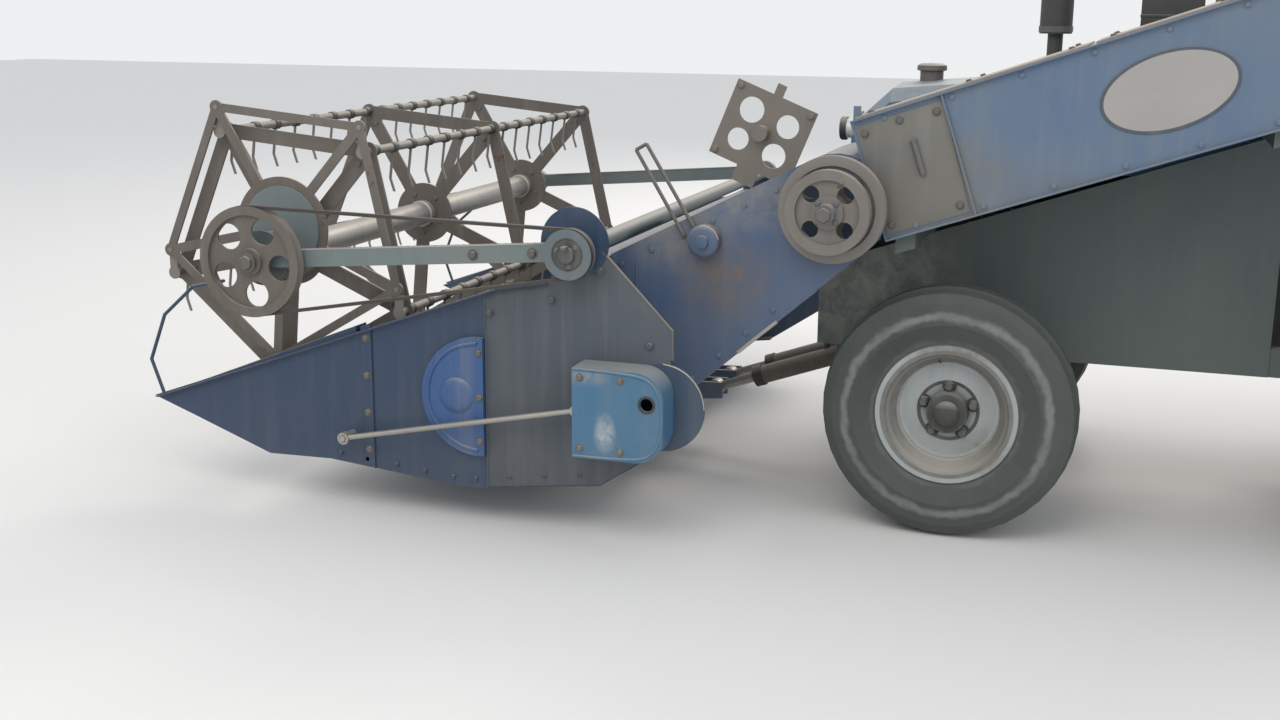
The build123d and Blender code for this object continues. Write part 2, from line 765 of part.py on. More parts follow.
def pulley(x, z, radius, y0, y1, bore, holes, hole_r, hole_circle, web_t=12.0, hub_r=50.0):
    mid = (y0 + y1) / 2
    depth = 14.0
    rim = ring_profile([(y0, radius - 30), (y0, radius), (mid - 4, radius - depth),
                        (mid + 4, radius - depth), (y1, radius), (y1, radius - 30)], x, z)
    web = disc(x, z, radius - 20, mid - web_t / 2, mid + web_t / 2)
    for k in range(holes):
        hx, hz = polar(x, z, hole_circle, 360 / holes * k + 45)
        web -= disc(hx, hz, hole_r, mid - web_t, mid + web_t)
    hub = disc(x, z, hub_r, y0, y1)
    return (rim + web + hub) - disc(x, z, bore, y0 - 1, y1 + 1)


double = pulley(pivot_x, pivot_z, feeder_pulley_r, 832, 872, pivot_r + run_fit, 4, 34, 92)
double += pulley(pivot_x, pivot_z, feeder_pulley_small_r, 900, 940, pivot_r + run_fit, 4, 26, 75)
double += disc(pivot_x, pivot_z, 50, 870, 902, pivot_r + run_fit)
keep("feeder_pulley", double)

# Header trough, with the mouth to the feeder

trough_r = auger_r + auger_running_gap
floor_start = (knife_x - 60, knife_z - 5)
reach = hypot(floor_start[0] - auger_x, floor_start[1] - auger_z)
tangent = degrees(atan2(floor_start[1] - auger_z, floor_start[0] - auger_x))
tangent -= degrees(acos(trough_r / reach))
back_start = 172.0
step_count = 10
sweep_angle = (back_start - 360) - tangent


def trough_points(radius, drop):
    points = [(floor_start[0], floor_start[1] - drop)]
    for k in range(step_count + 1):
        points.append(polar(auger_x, auger_z, radius, tangent + sweep_angle * k / step_count))
    points.append((back_top_x - drop, back_top_z))
    return points


inner_line = trough_points(trough_r, 0)
outer_line = trough_points(trough_r + header_sheet, header_sheet)
width = header_half
trough = plate(inner_line + outer_line[::-1], -width, width)
mouth_y0 = feeder_y - mouth_w / 2
mouth_y1 = feeder_y + mouth_w / 2
mouth_z0, mouth_z1 = 300.0, 700.0
trough -= block(900, 1250, mouth_y0, mouth_y1, mouth_z0, mouth_z1)
trough += block(back_top_x - 50, back_top_x + 5, -width, width, back_top_z - 4, back_top_z + 46)
keep("header_trough", trough)

beam_z0, beam_z1 = 200.0, 280.0
beam_x1 = 1115.0
lower_beam = block(beam_x1 - 60, beam_x1, -width, width, beam_z0, beam_z1)
lower_beam -= plate([(p[0], p[1]) for p in trough_points(trough_r + header_sheet + seat_gap,
                                                      header_sheet)] +
                    [(3000, back_top_z), (3000, 0), (1500, 0)], -width - 1, width + 1)
for sy in (1, -1):
    for dy in (-1, 1):
        y0, y1 = sorted((sy * lift_y + dy * 30, sy * lift_y + dy * 44))
        lower_beam += plate([(lift_eye_x - 35, lift_eye_z - 30), (lift_eye_x - 35, lift_eye_z + 30),
                             (beam_x1 - 60, beam_z1 - 5), (beam_x1 - 60, beam_z0 + 5)], y0, y1)
keep("header_back_beam", lower_beam)

# Header side sheets with their dividers, gussets and the arm pivots

side_outline = [
    (divider_tip_x, divider_tip_z), (1343, 789), (1182, 818), (arm_pivot_x + 45, arm_pivot_z + 20),
    (1012, 925), (780, 690), (780, 330), (1011, 175), (1460, 119), (1970, 165), (2201, 160),
    (2471, 259),
]
for side, word in ((1, "left"), (-1, "right")):
    y0, y1 = sorted((side * (width + seat_gap), side * (width + seat_gap + header_sheet)))
    sheet = plate(side_outline, y0, y1)
    w0, w1 = sorted((side * (width + seat_gap), side * (width + seat_gap - divider_w)))
    sheet -= disc(auger_x, auger_z, 32, y0 - 1, y1 + 1)
    sheet -= disc(arm_pivot_x, arm_pivot_z, 26, y0 - 1, y1 + 1)
    d0, d1 = sorted((side * (width + seat_gap + 1), side * (width - divider_w)))
    nose = plate([(divider_tip_x - 20, divider_tip_z), (1860, 624), (1860, 600), (2200, 180),
                  (2471, 264)], d0, d1)
    i0, i1 = sorted((side * (width - 3), side * (width - divider_w + 4)))
    nose -= plate([(divider_tip_x - 75, divider_tip_z), (1850, 612), (1850, 560), (2215, 172),
                   (2471, 255)], i0, i1)
    sheet += nose
    outer_y = side * (width + seat_gap + header_sheet)
    f0, f1 = sorted((outer_y - side, outer_y + side * flange_w))
    sheet += plate([(divider_tip_x - 15, divider_tip_z), (1343, 789), (1182, 818), (1182, 812),
                    (1343, 783), (divider_tip_x - 28, divider_tip_z)], f0, f1)
    r0, r1 = sorted((outer_y - side, outer_y + side * 7))
    sheet += plate([(strap_x, 640), (strap_x + 36, 628), (strap_x + 36, 165), (strap_x, 150)], r0, r1)
    b0, b1 = sorted((side * (width - 55), outer_y))
    sheet += plate([(1011, 175), (1460, 119), (1970, 165), (1970, 171), (1460, 125), (1011, 181)],
                   b0, b1)
    rod_y = side * (width + 2.5)
    for a, b in zip(divider_rod, divider_rod[1:]):
        sheet += bar((a[0], rod_y, a[1]), (b[0], rod_y, b[1]), divider_rod_r)
        sheet += Pos(b[0], rod_y, b[1]) * Sphere(divider_rod_r)
    if side > 0:
        sheet += disc(arm_pivot_x + 16, arm_pivot_z + 20, 110, outer_y - 1, outer_y + 5)
        sheet -= disc(arm_pivot_x, arm_pivot_z, 26, outer_y - 10, outer_y + 10)
    keep("header_side_" + word, sheet)

# Cutter bar with its guards, and the knife

cutter_y = width - 4
bar_body = block(knife_x - 60 + seat_gap, knife_x, -cutter_y, cutter_y, knife_z - 18, knife_z - 4)
guard_count = int(2 * cutter_y / guard_pitch)
guards = []
for k in range(guard_count):
    y = (k - (guard_count - 1) / 2) * guard_pitch
    finger = plate([(knife_x - 20, knife_z - 18), (knife_x + 60, knife_z - 18),
                    (knife_x + guard_len, knife_z - 2), (knife_x + guard_len, knife_z + 2),
                    (knife_x + 50, knife_z - 4), (knife_x - 20, knife_z - 4)], y - 8, y + 8)
    guards.append(finger)
keep("cutter_bar", bar_body.fuse(*guards))

knife_gap = 0.5
stroke = 38.0
knife_half = cutter_y - stroke - 12
section_count = int(2 * knife_half / guard_pitch)
knife = block(knife_x - 30, knife_x + 2, -knife_half, knife_half, knife_z - 4 + knife_gap,
              knife_z + 3)
sections = []
for k in range(section_count):
    y = (k - (section_count - 1) / 2) * guard_pitch
    line = Polyline((knife_x - 4, y - 36, knife_z - 4 + knife_gap),
                    (knife_x + 56, y - 8, knife_z - 4 + knife_gap),
                    (knife_x + 56, y + 8, knife_z - 4 + knife_gap),
                    (knife_x - 4, y + 36, knife_z - 4 + knife_gap), close=True)
    sections.append(extrude(make_face(line), amount=3.0, dir=(0, 0, 1)))
keep("knife", knife.fuse(*sections))

# Auger with two helical flights that meet at the mouth


def flight(y_start, y_end, hand):
    """A screw flight as flat facets, from the tube's inside to the auger's rim."""
    turns = abs(y_end - y_start) / auger_pitch
    count = max(6, int(turns * 14))
    inner_r, outer_r = auger_tube_r - auger_wall + 1, auger_r
    ring = []
    for k in range(count + 1):
        share = k / count
        y = y_start + (y_end - y_start) * share
        angle = radians(360 * turns * share * hand)
        c, s = cos(angle), sin(angle)
        half = flight_t / 2
        ring.append([Vector(auger_x + r * c, y + d, auger_z + r * s)
                     for r, d in ((inner_r, -half), (outer_r, -half), (outer_r, half), (inner_r, half))])
    rows = [ring[0], ring[-1]]
    for a, b in zip(ring, ring[1:]):
        for i in range(4):
            j = (i + 1) % 4
            rows.append([a[i], a[j], b[j], b[i]])
    return faceted(rows)


auger_end = width - 14
auger = disc(auger_x, auger_z, auger_tube_r, -auger_end + 4, auger_end - 4)
auger -= disc(auger_x, auger_z, auger_tube_r - auger_wall, -auger_end + 30, auger_end - 30)
for k in range(2):
    hx, hz = polar(auger_x, auger_z, auger_tube_r + 5, 30 + 180 * k)
    ix, iz = polar(auger_x, auger_z, auger_tube_r - 20, 30 + 180 * k)
    auger -= bar((ix, feeder_y + 55, iz), (hx, feeder_y + 55, hz), 30)
auger = auger.fuse(flight(-auger_end + 8, mouth_y0 + 20, 1), flight(auger_end - 8, mouth_y1 - 20, -1))
fingers = []
for k in range(6):
    fx, fz = polar(auger_x, auger_z, auger_r - 5, 60 * k)
    fy = feeder_y + (k % 3 - 1) * 110
    nx, nz = polar(auger_x, auger_z, auger_tube_r - 4, 60 * k)
    fingers.append(bar((nx, fy, nz), (fx, fy, fz), 8))
auger = auger.fuse(*fingers)
stub = width + seat_gap + header_sheet
auger += disc(auger_x, auger_z, 25, -stub, stub)
keep("auger", auger)

# Reel frame: two arms on one cross tube, hinged on the header's gussets

arms = []
for side in (1, -1):
    y0, y1 = sorted((side * reel_arm_y, side * (reel_arm_y + reel_arm_w)))
    run = hypot(reel_x - arm_pivot_x, reel_z - arm_pivot_z)
    lean = degrees(atan2(arm_pivot_z - reel_z, reel_x - arm_pivot_x))
    arm = block(arm_pivot_x, arm_pivot_x + run, y0, y1, arm_pivot_z - reel_arm_h / 2,
                arm_pivot_z + reel_arm_h / 2)
    arm = turned(arm_pivot_x, arm_pivot_z, lean, arm)
    arm += disc(reel_x, reel_z, 48, y0, y1)
    arm += disc(arm_pivot_x, arm_pivot_z, 48, y0, y1)
    arm -= disc(reel_x, reel_z, 25 + run_fit, y0 - 1, y1 + 1)
    arms.append(arm)
tube = disc(arm_pivot_x, arm_pivot_z, 26 - run_fit, -reel_arm_y - 2, reel_arm_y + 2)

# Reel: tube, spiders, pulley

reel_shaft_end = reel_pulley_y + 30
tube_end = reel_half + 30
reel_core = disc(reel_x, reel_z, reel_tube_r, -tube_end, tube_end)
reel_core -= disc(reel_x, reel_z, reel_tube_r - 4, -tube_end - 1, tube_end + 1)
reel_core += disc(reel_x, reel_z, 25, -reel_arm_y - 50, reel_shaft_end)

bat_angles = [90 - reel_phase + 360 / reel_bats * k for k in range(reel_bats)]
spiders = []
for y in (reel_half, 0.0, -reel_half):
    hub = disc(reel_x, reel_z, reel_hub_r, y - 5, y + 5)
    arms5 = []
    for k, angle in enumerate(bat_angles):
        tip = polar(reel_x, reel_z, reel_r, angle)
        after = polar(reel_x, reel_z, reel_r, angle + 360 / reel_bats)
        spoke = block(reel_x + 60, reel_x + reel_r - 8, y - 4, y + 4, reel_z - 27, reel_z + 27)
        arms5.append(turned(reel_x, reel_z, -angle, spoke))
        chord = hypot(after[0] - tip[0], after[1] - tip[1])
        link = block(-8, chord + 8, y - 4, y + 4, -24, 24)
        heading = degrees(atan2(after[1] - tip[1], after[0] - tip[0]))
        link = link.rotate(Axis((0, 0, 0), (0, 1, 0)), -heading).translate((tip[0], 0, tip[1]))
        arms5.append(link)
        arms5.append(disc(tip[0], tip[1], 30, y - 4, y + 4))
    spider = hub.fuse(*arms5)
    for angle in bat_angles:
        tip = polar(reel_x, reel_z, reel_r, angle)
        spider -= disc(tip[0], tip[1], bat_r + run_fit, y - 6, y + 6)
    for k in range(3):
        vx, vz = polar(reel_x, reel_z, (reel_tube_r + 21) / 2, 120 * k + 10)
        spider -= disc(vx, vz, 6, y - 6, y + 6)
    spiders.append(spider)
keep("reel_rotor", reel_core.fuse(*spiders))

py0, py1 = reel_pulley_y - 18, reel_pulley_y + 18
keep("reel_pulley", pulley(reel_x, reel_z, reel_pulley_r, py0, py1, 25 + run_fit, 5, 42, 108,
                           web_t=8.0, hub_r=44.0))

# Tine bars: a tube with hanging tines and a crank to the offset spider

crank_y0 = reel_half + 40
for k, angle in enumerate(bat_angles):
    bx, bz = polar(reel_x, reel_z, reel_r, angle)
    piece = disc(bx, bz, bat_r, -bat_half, crank_y0 + 8)
    parts = []
    for i in range(tines_per_bat):
        y = (i - (tines_per_bat - 1) / 2) * (2 * (reel_half - 60) / (tines_per_bat - 1)) + 25
        parts.append(plate([(bx - tine_w / 2, bz), (bx + tine_w / 2, bz),
                            (bx + tine_w / 2 + 14, bz - tine_len * 0.7), (bx + tine_w / 2, bz - tine_len),
                            (bx - tine_w / 2, bz - tine_len), (bx - tine_w / 2 + 14, bz - tine_len * 0.7)],
                           y - tine_w / 2, y + tine_w / 2))
    crank = block(bx - 15, bx + 15, crank_y0, crank_y0 + 8, bz, bz + eccentric_up)
    crank += disc(bx, bz + eccentric_up, 15, crank_y0, crank_y0 + 8)
    crank += disc(bx, bz, 22, crank_y0, crank_y0 + 8)
    crank += disc(bx, bz + eccentric_up, 8, crank_y0 + 4, crank_y0 + 24)
    keep(f"tine_bar_{k + 1}", piece.fuse(crank, *parts))

# Offset spider that keeps the tines upright; it turns on a ring about its own centre

ecc_z = reel_z + eccentric_up
ecc_y0 = crank_y0 + 14
ecc_parts = []
for angle in bat_angles:
    tip = polar(reel_x, ecc_z, reel_r, angle)
    after = polar(reel_x, ecc_z, reel_r, angle + 360 / reel_bats)
    spoke = block(reel_x + 150, reel_x + reel_r - 5, ecc_y0, ecc_y0 + 8, ecc_z - 16, ecc_z + 16)
    ecc_parts.append(turned(reel_x, ecc_z, -angle, spoke))
    chord = hypot(after[0] - tip[0], after[1] - tip[1])
    link = block(0, chord, ecc_y0, ecc_y0 + 8, -14, 14)
    heading = degrees(atan2(after[1] - tip[1], after[0] - tip[0]))
    link = link.rotate(Axis((0, 0, 0), (0, 1, 0)), -heading).translate((tip[0], 0, tip[1]))
    ecc_parts.append(link)
    ecc_parts.append(disc(tip[0], tip[1], 22, ecc_y0, ecc_y0 + 8))
ecc_ring = disc(reel_x, ecc_z, 170, ecc_y0, ecc_y0 + 8)
ecc = ecc_ring.fuse(*ecc_parts)
for angle in bat_angles:
    tip = polar(reel_x, ecc_z, reel_r, angle)
    ecc -= disc(tip[0], tip[1], 8 + run_fit, ecc_y0 - 1, ecc_y0 + 9)
guide_r = 140.0
ecc -= disc(reel_x, ecc_z, guide_r + run_fit, ecc_y0 - 1, ecc_y0 + 9)
keep("offset_spider", ecc)

# Guide disc on the left reel arm that the offset spider turns on
guide = disc(reel_x, ecc_z, guide_r, ecc_y0, ecc_y0 + 14)
guide -= disc(reel_x, reel_z, 25 + 12, ecc_y0 - 1, ecc_y0 + 15)
for dx, dz in ((0, 70), (-55, 20), (55, 20)):
    guide += disc(reel_x + dx, reel_z + dz, 12, ecc_y0, reel_arm_y)
guide += disc(reel_x, reel_z, 90, reel_arm_y - 12, reel_arm_y) - disc(reel_x, reel_z, 25 + run_fit, 0, 2000)
keep("reel_arms", arms[0].fuse(tube, arms[1], guide))

# Belt from the reel pulley to the drive pulley on the arm's hinge

belt_t = 10.0
reel_shaft = (reel_x, reel_z)
arm_hinge = (arm_pivot_x, arm_pivot_z)
b0, b1 = reel_pulley_y - 8, reel_pulley_y + 8
belt_in = 9.5
belt = belt_ring(reel_shaft, arm_hinge, reel_pulley_r - belt_in, drive_pulley_r - belt_in,
                 belt_t, b0, b1)
keep("reel_belt", belt)

drive = pulley(arm_pivot_x, arm_pivot_z, drive_pulley_r, py0, py1, 24, 0, 0, 0, web_t=20, hub_r=46)
drive += disc(arm_pivot_x, arm_pivot_z, 24, reel_arm_y + reel_arm_w + seat_gap, py1 + 14)
keep("reel_drive_pulley", drive)

# Knife drive: belt cover with its crank disc, rod and rocker

cover_y0 = width + seat_gap + header_sheet + seat_gap
cover_y1 = cover_y0 + 118
cover = block(770, 1061, cover_y0, cover_y1, 300, 581)
cover = fillet(cover.edges().filter_by(Axis.Y).sort_by(lambda e: e.center().X)[:2], 90)
inner_cover = block(776, 1055, cover_y0 - 1, cover_y1 - 5, 306, 575)
inner_cover = fillet(inner_cover.edges().filter_by(Axis.Y).sort_by(lambda e: e.center().X)[:2], 84)
cover -= inner_cover
cover -= disc(822, 485, 20, cover_y1 - 20, cover_y1 + 1)
cover += disc(812, 450, 138, cover_y0, cover_y0 + 6)
keep("belt_cover", cover)
guard_plate = disc(auger_x + 20, auger_z, 194, cover_y0, cover_y0 + 20)
guard_plate &= block(auger_x, auger_x + 240, cover_y0, cover_y0 + 90, 200, 700)
keep("auger_guard", guard_plate)
rod_y = cover_y0 + 60
rod_piece = bar((1066, rod_y, 431), (1880, rod_y, 262), 9)
rod_piece += bar((1880, cover_y0, 262), (1880, rod_y + 12, 262), 14)
keep("knife_rod", rod_piece)

# Lower feeder: a hollow wedge from the trough's mouth to the pivot

ly0, ly1 = y_in + side_gap, y_out - side_gap
top_front = (1118.0, 845.0)
low_front = (1060.0, 215.0)


def tangent_point(point, radius, turn):
    """Where the line from a point touches the tail's circle."""
    gap = hypot(point[0] - pivot_x, point[1] - pivot_z)
    base = degrees(atan2(point[1] - pivot_z, point[0] - pivot_x))
    return base + turn * degrees(acos(radius / gap))


def wedge(radius, shift):
    a = tangent_point(top_front, radius, 1)
    b = tangent_point(low_front, radius, -1) % 360
    arc = [polar(pivot_x, pivot_z, radius, a + (b - a) * k / 12) for k in range(13)]
    return [(top_front[0] + shift, top_front[1] - (tail_r - radius))] + arc + \
        [(low_front[0] + shift, low_front[1] + (tail_r - radius))]


lower = plate(wedge(tail_r, 0), ly0, ly1)
hollow = plate(wedge(tail_r - feeder_sheet, 20), ly0 + feeder_sheet, ly1 - feeder_sheet)
lower -= hollow
tail_cut = plate([polar(pivot_x, pivot_z, 30, 180), polar(pivot_x, pivot_z, 260, 118),
                  polar(pivot_x, pivot_z, 260, 170), polar(pivot_x, pivot_z, 260, 222)],
                 ly0 + feeder_sheet, ly1 - feeder_sheet)
lower -= tail_cut
back_line = trough_points(trough_r + header_sheet + seat_gap, header_sheet + seat_gap)
lower -= plate(back_line + [(3000, back_top_z), (3000, 0), (1500, 0)], ly0 - 1, ly1 + 1)
for y0, y1 in ((ly0, ly0 + feeder_sheet), (ly1 - feeder_sheet, ly1)):
    lower -= disc(pivot_x, pivot_z, pivot_r + run_fit, y0 - 1, y1 + 1)
lower -= block(beam_x1 - 60 - seat_gap, 1300, ly0 - 1, ly1 + 1, 100, beam_z1 + seat_gap)
lower -= block(back_top_x - 50 - seat_gap, 1300, ly0 - 1, ly1 + 1, back_top_z - 4 - seat_gap, 900)
bearing_y = ((ly0 - 10, ly0 + 1), (ly1 - 1, ly1 + 10))
for y0, y1 in bearing_y:
    lower += disc(*conveyor_drum, 45, y0, y1)
lower -= disc(*conveyor_drum, conveyor_shaft_r + run_fit, ly0 - 20, ly1 + 20)
keep("lower_feeder", *lower.solids())

# Slatted conveyor in the lower feeder: one fixed loop with its slats, on the front drum

path = ((pivot_x, pivot_z), conveyor_drum, conveyor_rear_r, conveyor_drum_r)
chain_y0, chain_y1 = ly0 + 30, ly1 - 30
conveyor = disc(*conveyor_drum, conveyor_drum_r - 20, chain_y0, chain_y1)
conveyor -= disc(*conveyor_drum, conveyor_drum_r - 26, chain_y0 + 8, chain_y1 - 8)
conveyor += disc(*conveyor_drum, conveyor_shaft_r, ly0 - 14, ly1 + 14)
for y0 in (chain_y0, (chain_y0 + chain_y1) / 2 - 5, chain_y1 - 10):
    conveyor += disc(*conveyor_drum, conveyor_drum_r + 1, y0, y0 + 10)
    conveyor += belt_ring(*path, conveyor_chain_t, y0, y0 + 10)
for k in range(conveyor_slats):
    (sx, sz), out = belt_place(*path, (k + 0.5) / conveyor_slats)
    slat = block(sx + conveyor_chain_t - 1, sx + conveyor_chain_t + slat_h, chain_y0, chain_y1,
                 sz - slat_t / 2, sz + slat_t / 2)
    conveyor += turned(sx, sz, -out, slat)
keep("feeder_conveyor", conveyor)

# Small fittings on the lower feeder

handle_y = ly1 + seat_gap
boss = disc(785, 915, 52, handle_y, handle_y + 40)
handle = bar((817, handle_y + 12, 945), (985, handle_y + 12, 1215), 6)
handle += bar((855, handle_y + 12, 925), (1020, handle_y + 12, 1195), 6)
handle += bar((985, handle_y + 12, 1215), (1020, handle_y + 12, 1195), 6)
keep("tension_lever", boss + handle)

plate_angle = 22.0
px, pz = pivot_x + 350.0, pivot_z + 183.0
bearing = block(px - 150, px + 150, ly0, ly0 + 8, pz - 135, pz + 135)
for hx, hz, hr in ((-72, 52, 40), (66, 56, 44), (-66, -58, 42), (72, -54, 38)):
    bearing -= disc(px + hx, pz + hz, hr, ly0 - 1, ly0 + 9)
bearing += block(px - 40, px + 40, ly0, ly0 + 8, pz - 190, pz - 130)
bearing += disc(px, pz, 26, ly0, ly0 + 60)
bearing += block(px - 16, px + 16, ly0, ly0 + 8, pz + 130, pz + 175)
bearing = turned(px, pz, -plate_angle, bearing)
bearing -= plate(wedge(tail_r + seat_gap, 0), ly0 - 1, ly1 + 1)
keep("bearing_plate", *[s for s in bearing.solids() if s.volume > 1000])

# Lift cylinders: barrels on the carrier, rods to the header's back beam

ldx, ldz = lift_eye_x - lift_base_x, lift_eye_z - lift_base_z
lift_len = hypot(ldx, ldz)
lx, lz = ldx / lift_len, ldz / lift_len


def on_lift(s, y):
    return (lift_base_x + lx * s, y, lift_base_z + lz * s)


barrels, rods = [], []
for sy in (1, -1):
    y = sy * lift_y
    barrel = bar(on_lift(40, y), on_lift(lift_barrel_len, y), lift_barrel_r)
    barrel += disc(lift_base_x, lift_base_z, 36, y - 30, y + 30)
    barrel += bar(on_lift(20, y), on_lift(50, y), 24)
    barrel -= disc(lift_base_x, lift_base_z, 16 + run_fit, y - 30, y + 30)
    barrel -= bar(on_lift(90, y), on_lift(lift_barrel_len + 1, y), lift_rod_r + run_fit)
    barrels.append(barrel)
    rod_part = bar(on_lift(150, y), on_lift(lift_len - 28, y), lift_rod_r)
    rod_part += disc(lift_eye_x, lift_eye_z, 32, y - 22, y + 22)
    rods.append(rod_part)
keep("lift_barrels", *barrels)
keep("lift_rods", *rods)

# Thresher behind the tractor

th = thresher_sheet
body = block(thresher_rear, thresher_front, -thresher_half, thresher_half, thresher_z0, thresher_z1)
body -= block(thresher_rear + th, thresher_front - th, -thresher_half + th, thresher_half - th,
              thresher_z0 + th, thresher_z1 + 10)
outlet_y0, outlet_y1 = -thresher_half - 1, -thresher_half + th + 1
body -= block(thresher_rear + 90, thresher_rear + 560, outlet_y0, outlet_y1, 900, 1400)
body -= block(thresher_rear - 1, thresher_rear + th + 1, -700, 700, 900, 1250)

hood = disc(drum_x, drum_z, drum_r, -thresher_half, thresher_half)
hood += block(thresher_rear, thresher_front, -thresher_half, thresher_half, thresher_z1 + seat_gap, drum_z + 40)
hood -= disc(drum_x, drum_z, drum_r - th, -thresher_half + th, thresher_half - th)
hood -= block(thresher_rear + th, thresher_front - th, -thresher_half + th, thresher_half - th,
              thresher_z1 - 300, drum_z + 40 - th)
hood &= block(thresher_rear, thresher_front, -thresher_half, thresher_half, thresher_z1 + seat_gap, 2600)
low, high = -upper_below - seat_gap, upper_above + seat_gap
feeder_end = plate([along(s1 - 500, low), along(s1 - 500, high), along(s1 + 250, high),
                    along(s1 + 250, low)], y_in - seat_gap, y_out + seat_gap)
hood -= feeder_end
keep("thresher_hood", *[s for s in hood.solids() if s.volume > 10000])

for side in (1, -1):
    for x in (thresher_rear + 30, thresher_rear + 620, thresher_front - 60):
        y0, y1 = sorted((side * (thresher_half - 1), side * (thresher_half + 30)))
        body += block(x, x + 6, y0, y1, thresher_z0, thresher_z1)
    for z in (thresher_z0, 860.0, thresher_z1 - 6):
        y0, y1 = sorted((side * (thresher_half - 1), side * (thresher_half + 22)))
        body += block(thresher_rear, thresher_front, y0, y1, z, z + 6)
for z in (thresher_z0, 1300.0, 1640.0, thresher_z1 - 6):
    body += block(thresher_rear - 22, thresher_rear + 1, -thresher_half, thresher_half, z, z + 6)
wing = Polyline((thresher_rear + 80, -thresher_half + 2, 1440), (thresher_rear + 80, -1110, 1300),
                (thresher_rear + 80, -1110, 1180), (thresher_rear + 80, -1104, 1180),
                (thresher_rear + 80, -1104, 1296), (thresher_rear + 80, -thresher_half + 2, 1433),
                close=True)
body += extrude(make_face(wing), amount=370, dir=(1, 0, 0))
rear_hood = plate([(thresher_rear + 2, 1290), (thresher_rear - 70, 1200), (thresher_rear - 70, 1120),
                   (thresher_rear - 64, 1120), (thresher_rear - 64, 1197), (thresher_rear + 2, 1282)],
                  -715, 715)
body += rear_hood
spout = block(-3500, -3380, thresher_half - 2, thresher_half + 90, 800, 1200)
body -= feeder_end
legs = []
for side in (1, -1):
    y0, y1 = sorted((side * (rail_y - 30), side * (rail_y + 30)))
    for x in (thresher_front - 120, thresher_rear + 120):
        legs.append(block(x - 40, x + 40, y0, y1, rail_z0 + rail_h + seat_gap, thresher_z0 + 2))
shafts = [disc(drum_x + 60, 1700, 26, thresher_half - 6, thresher_half + 100),
          disc(thresher_front - 190, 1010, 20, thresher_half - 6, thresher_half + 95)]
bracket_y0, bracket_y1 = -thresher_half - elevator_gap + seat_gap, -thresher_half + 1
body += block(elevator_x - 80, elevator_x + 290, bracket_y0, bracket_y1, 1640, 1670)
body += block(elevator_x - 80, elevator_x + 80, bracket_y0, bracket_y1, 900, 930)
keep("thresher_body", body.fuse(spout, *legs, *shafts))

# Thresher drive on the left wall: the drum's pulley, the fan's pulley and their belt

drive_y0 = thresher_half + 42
drum_shaft = (drum_x + 60, 1700.0)
fan_shaft = (thresher_front - 190, 1010.0)
drum_pulley_y = (drive_y0, drive_y0 + 40)
keep("thresher_drum_pulley", pulley(*drum_shaft, drum_pulley_r, *drum_pulley_y, 26 + run_fit, 5, 50, 140,
                                    hub_r=60.0))
keep("thresher_fan_pulley", pulley(*fan_shaft, fan_pulley_r, *drum_pulley_y, 20 + run_fit, 0, 0, 0,
                                   web_t=22, hub_r=44))
drive_belt = belt_ring(drum_shaft, fan_shaft, drum_pulley_r - belt_in, fan_pulley_r - belt_in,
                       belt_t, drive_y0 + 12, drive_y0 + 28)
keep("thresher_belt", drive_belt)

# Grain elevator on the right wall, with two bagging spouts

ex0, ex1 = elevator_x - elevator_w / 2, elevator_x + elevator_w / 2
ey0, ey1 = -thresher_half - elevator_gap - elevator_depth, -thresher_half - elevator_gap
sheet = 6.0
elevator = block(ex0, ex1, ey0, ey1, 640, 1900)
elevator += plate([(ex0, 1890), (ex0, 1960), (elevator_x, 2010), (ex1, 1960), (ex1, 1890)], ey0, ey1)
elevator += block(ex1 - 10, ex1 + 245, ey0 + 5, ey1, 1600, 1700)
elevator -= block(ex0 + sheet, ex1 - sheet, ey0 + sheet, ey1 - sheet, 646, 1880)
elevator -= block(ex0 + 20, ex1 - 20, ey0 + 20, ey1 - 18, 600, 700)
for x in (ex1 + 45, ex1 + 190):
    elevator += block(x - 50, x + 50, ey0 + 10, ey1, 1420, 1610)
    elevator += block(x - 38, x + 38, ey0 + 22, ey1 - 8, 1240, 1425)
    elevator -= block(x - 34, x + 34, ey0 + 26, ey1 - 12, 1239, 1600)
keep("grain_elevator", elevator)


# Origin: the middle of the whole machine's box, on the ground

whole = Compound(list(nodes.values())).bounding_box()
shift = (-(whole.min.X + whole.max.X) / 2, -(whole.min.Y + whole.max.Y) / 2, -whole.min.Z)
for name, shape in nodes.items():
    placed = Compound([solid.moved(Location(shift)) for solid in shape.solids()])
    export_step(placed, f"parts/{name}.step")
print("nodes", len(nodes), "shift", [round(v, 3) for v in shift])
print("box", whole.size)
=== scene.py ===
import bmesh
import bpy
import math
from mathutils import Matrix, Vector


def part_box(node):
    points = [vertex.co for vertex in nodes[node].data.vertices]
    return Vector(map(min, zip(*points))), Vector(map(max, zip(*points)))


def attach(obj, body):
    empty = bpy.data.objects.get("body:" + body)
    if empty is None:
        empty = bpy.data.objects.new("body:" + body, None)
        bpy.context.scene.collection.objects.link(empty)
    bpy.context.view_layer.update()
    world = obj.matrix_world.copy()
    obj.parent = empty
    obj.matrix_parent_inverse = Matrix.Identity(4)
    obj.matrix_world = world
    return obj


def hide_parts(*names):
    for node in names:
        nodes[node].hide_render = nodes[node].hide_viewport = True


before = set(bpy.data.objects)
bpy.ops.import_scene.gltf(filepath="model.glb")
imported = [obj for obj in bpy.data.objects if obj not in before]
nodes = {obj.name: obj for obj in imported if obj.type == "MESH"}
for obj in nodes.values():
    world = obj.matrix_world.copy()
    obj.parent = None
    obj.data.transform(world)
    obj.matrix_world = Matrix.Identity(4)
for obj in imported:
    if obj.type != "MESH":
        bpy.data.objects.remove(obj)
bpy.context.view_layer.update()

# The measuring point: on the ground under the front axle, on the centre line
leftLow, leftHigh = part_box("front_tyre_left")
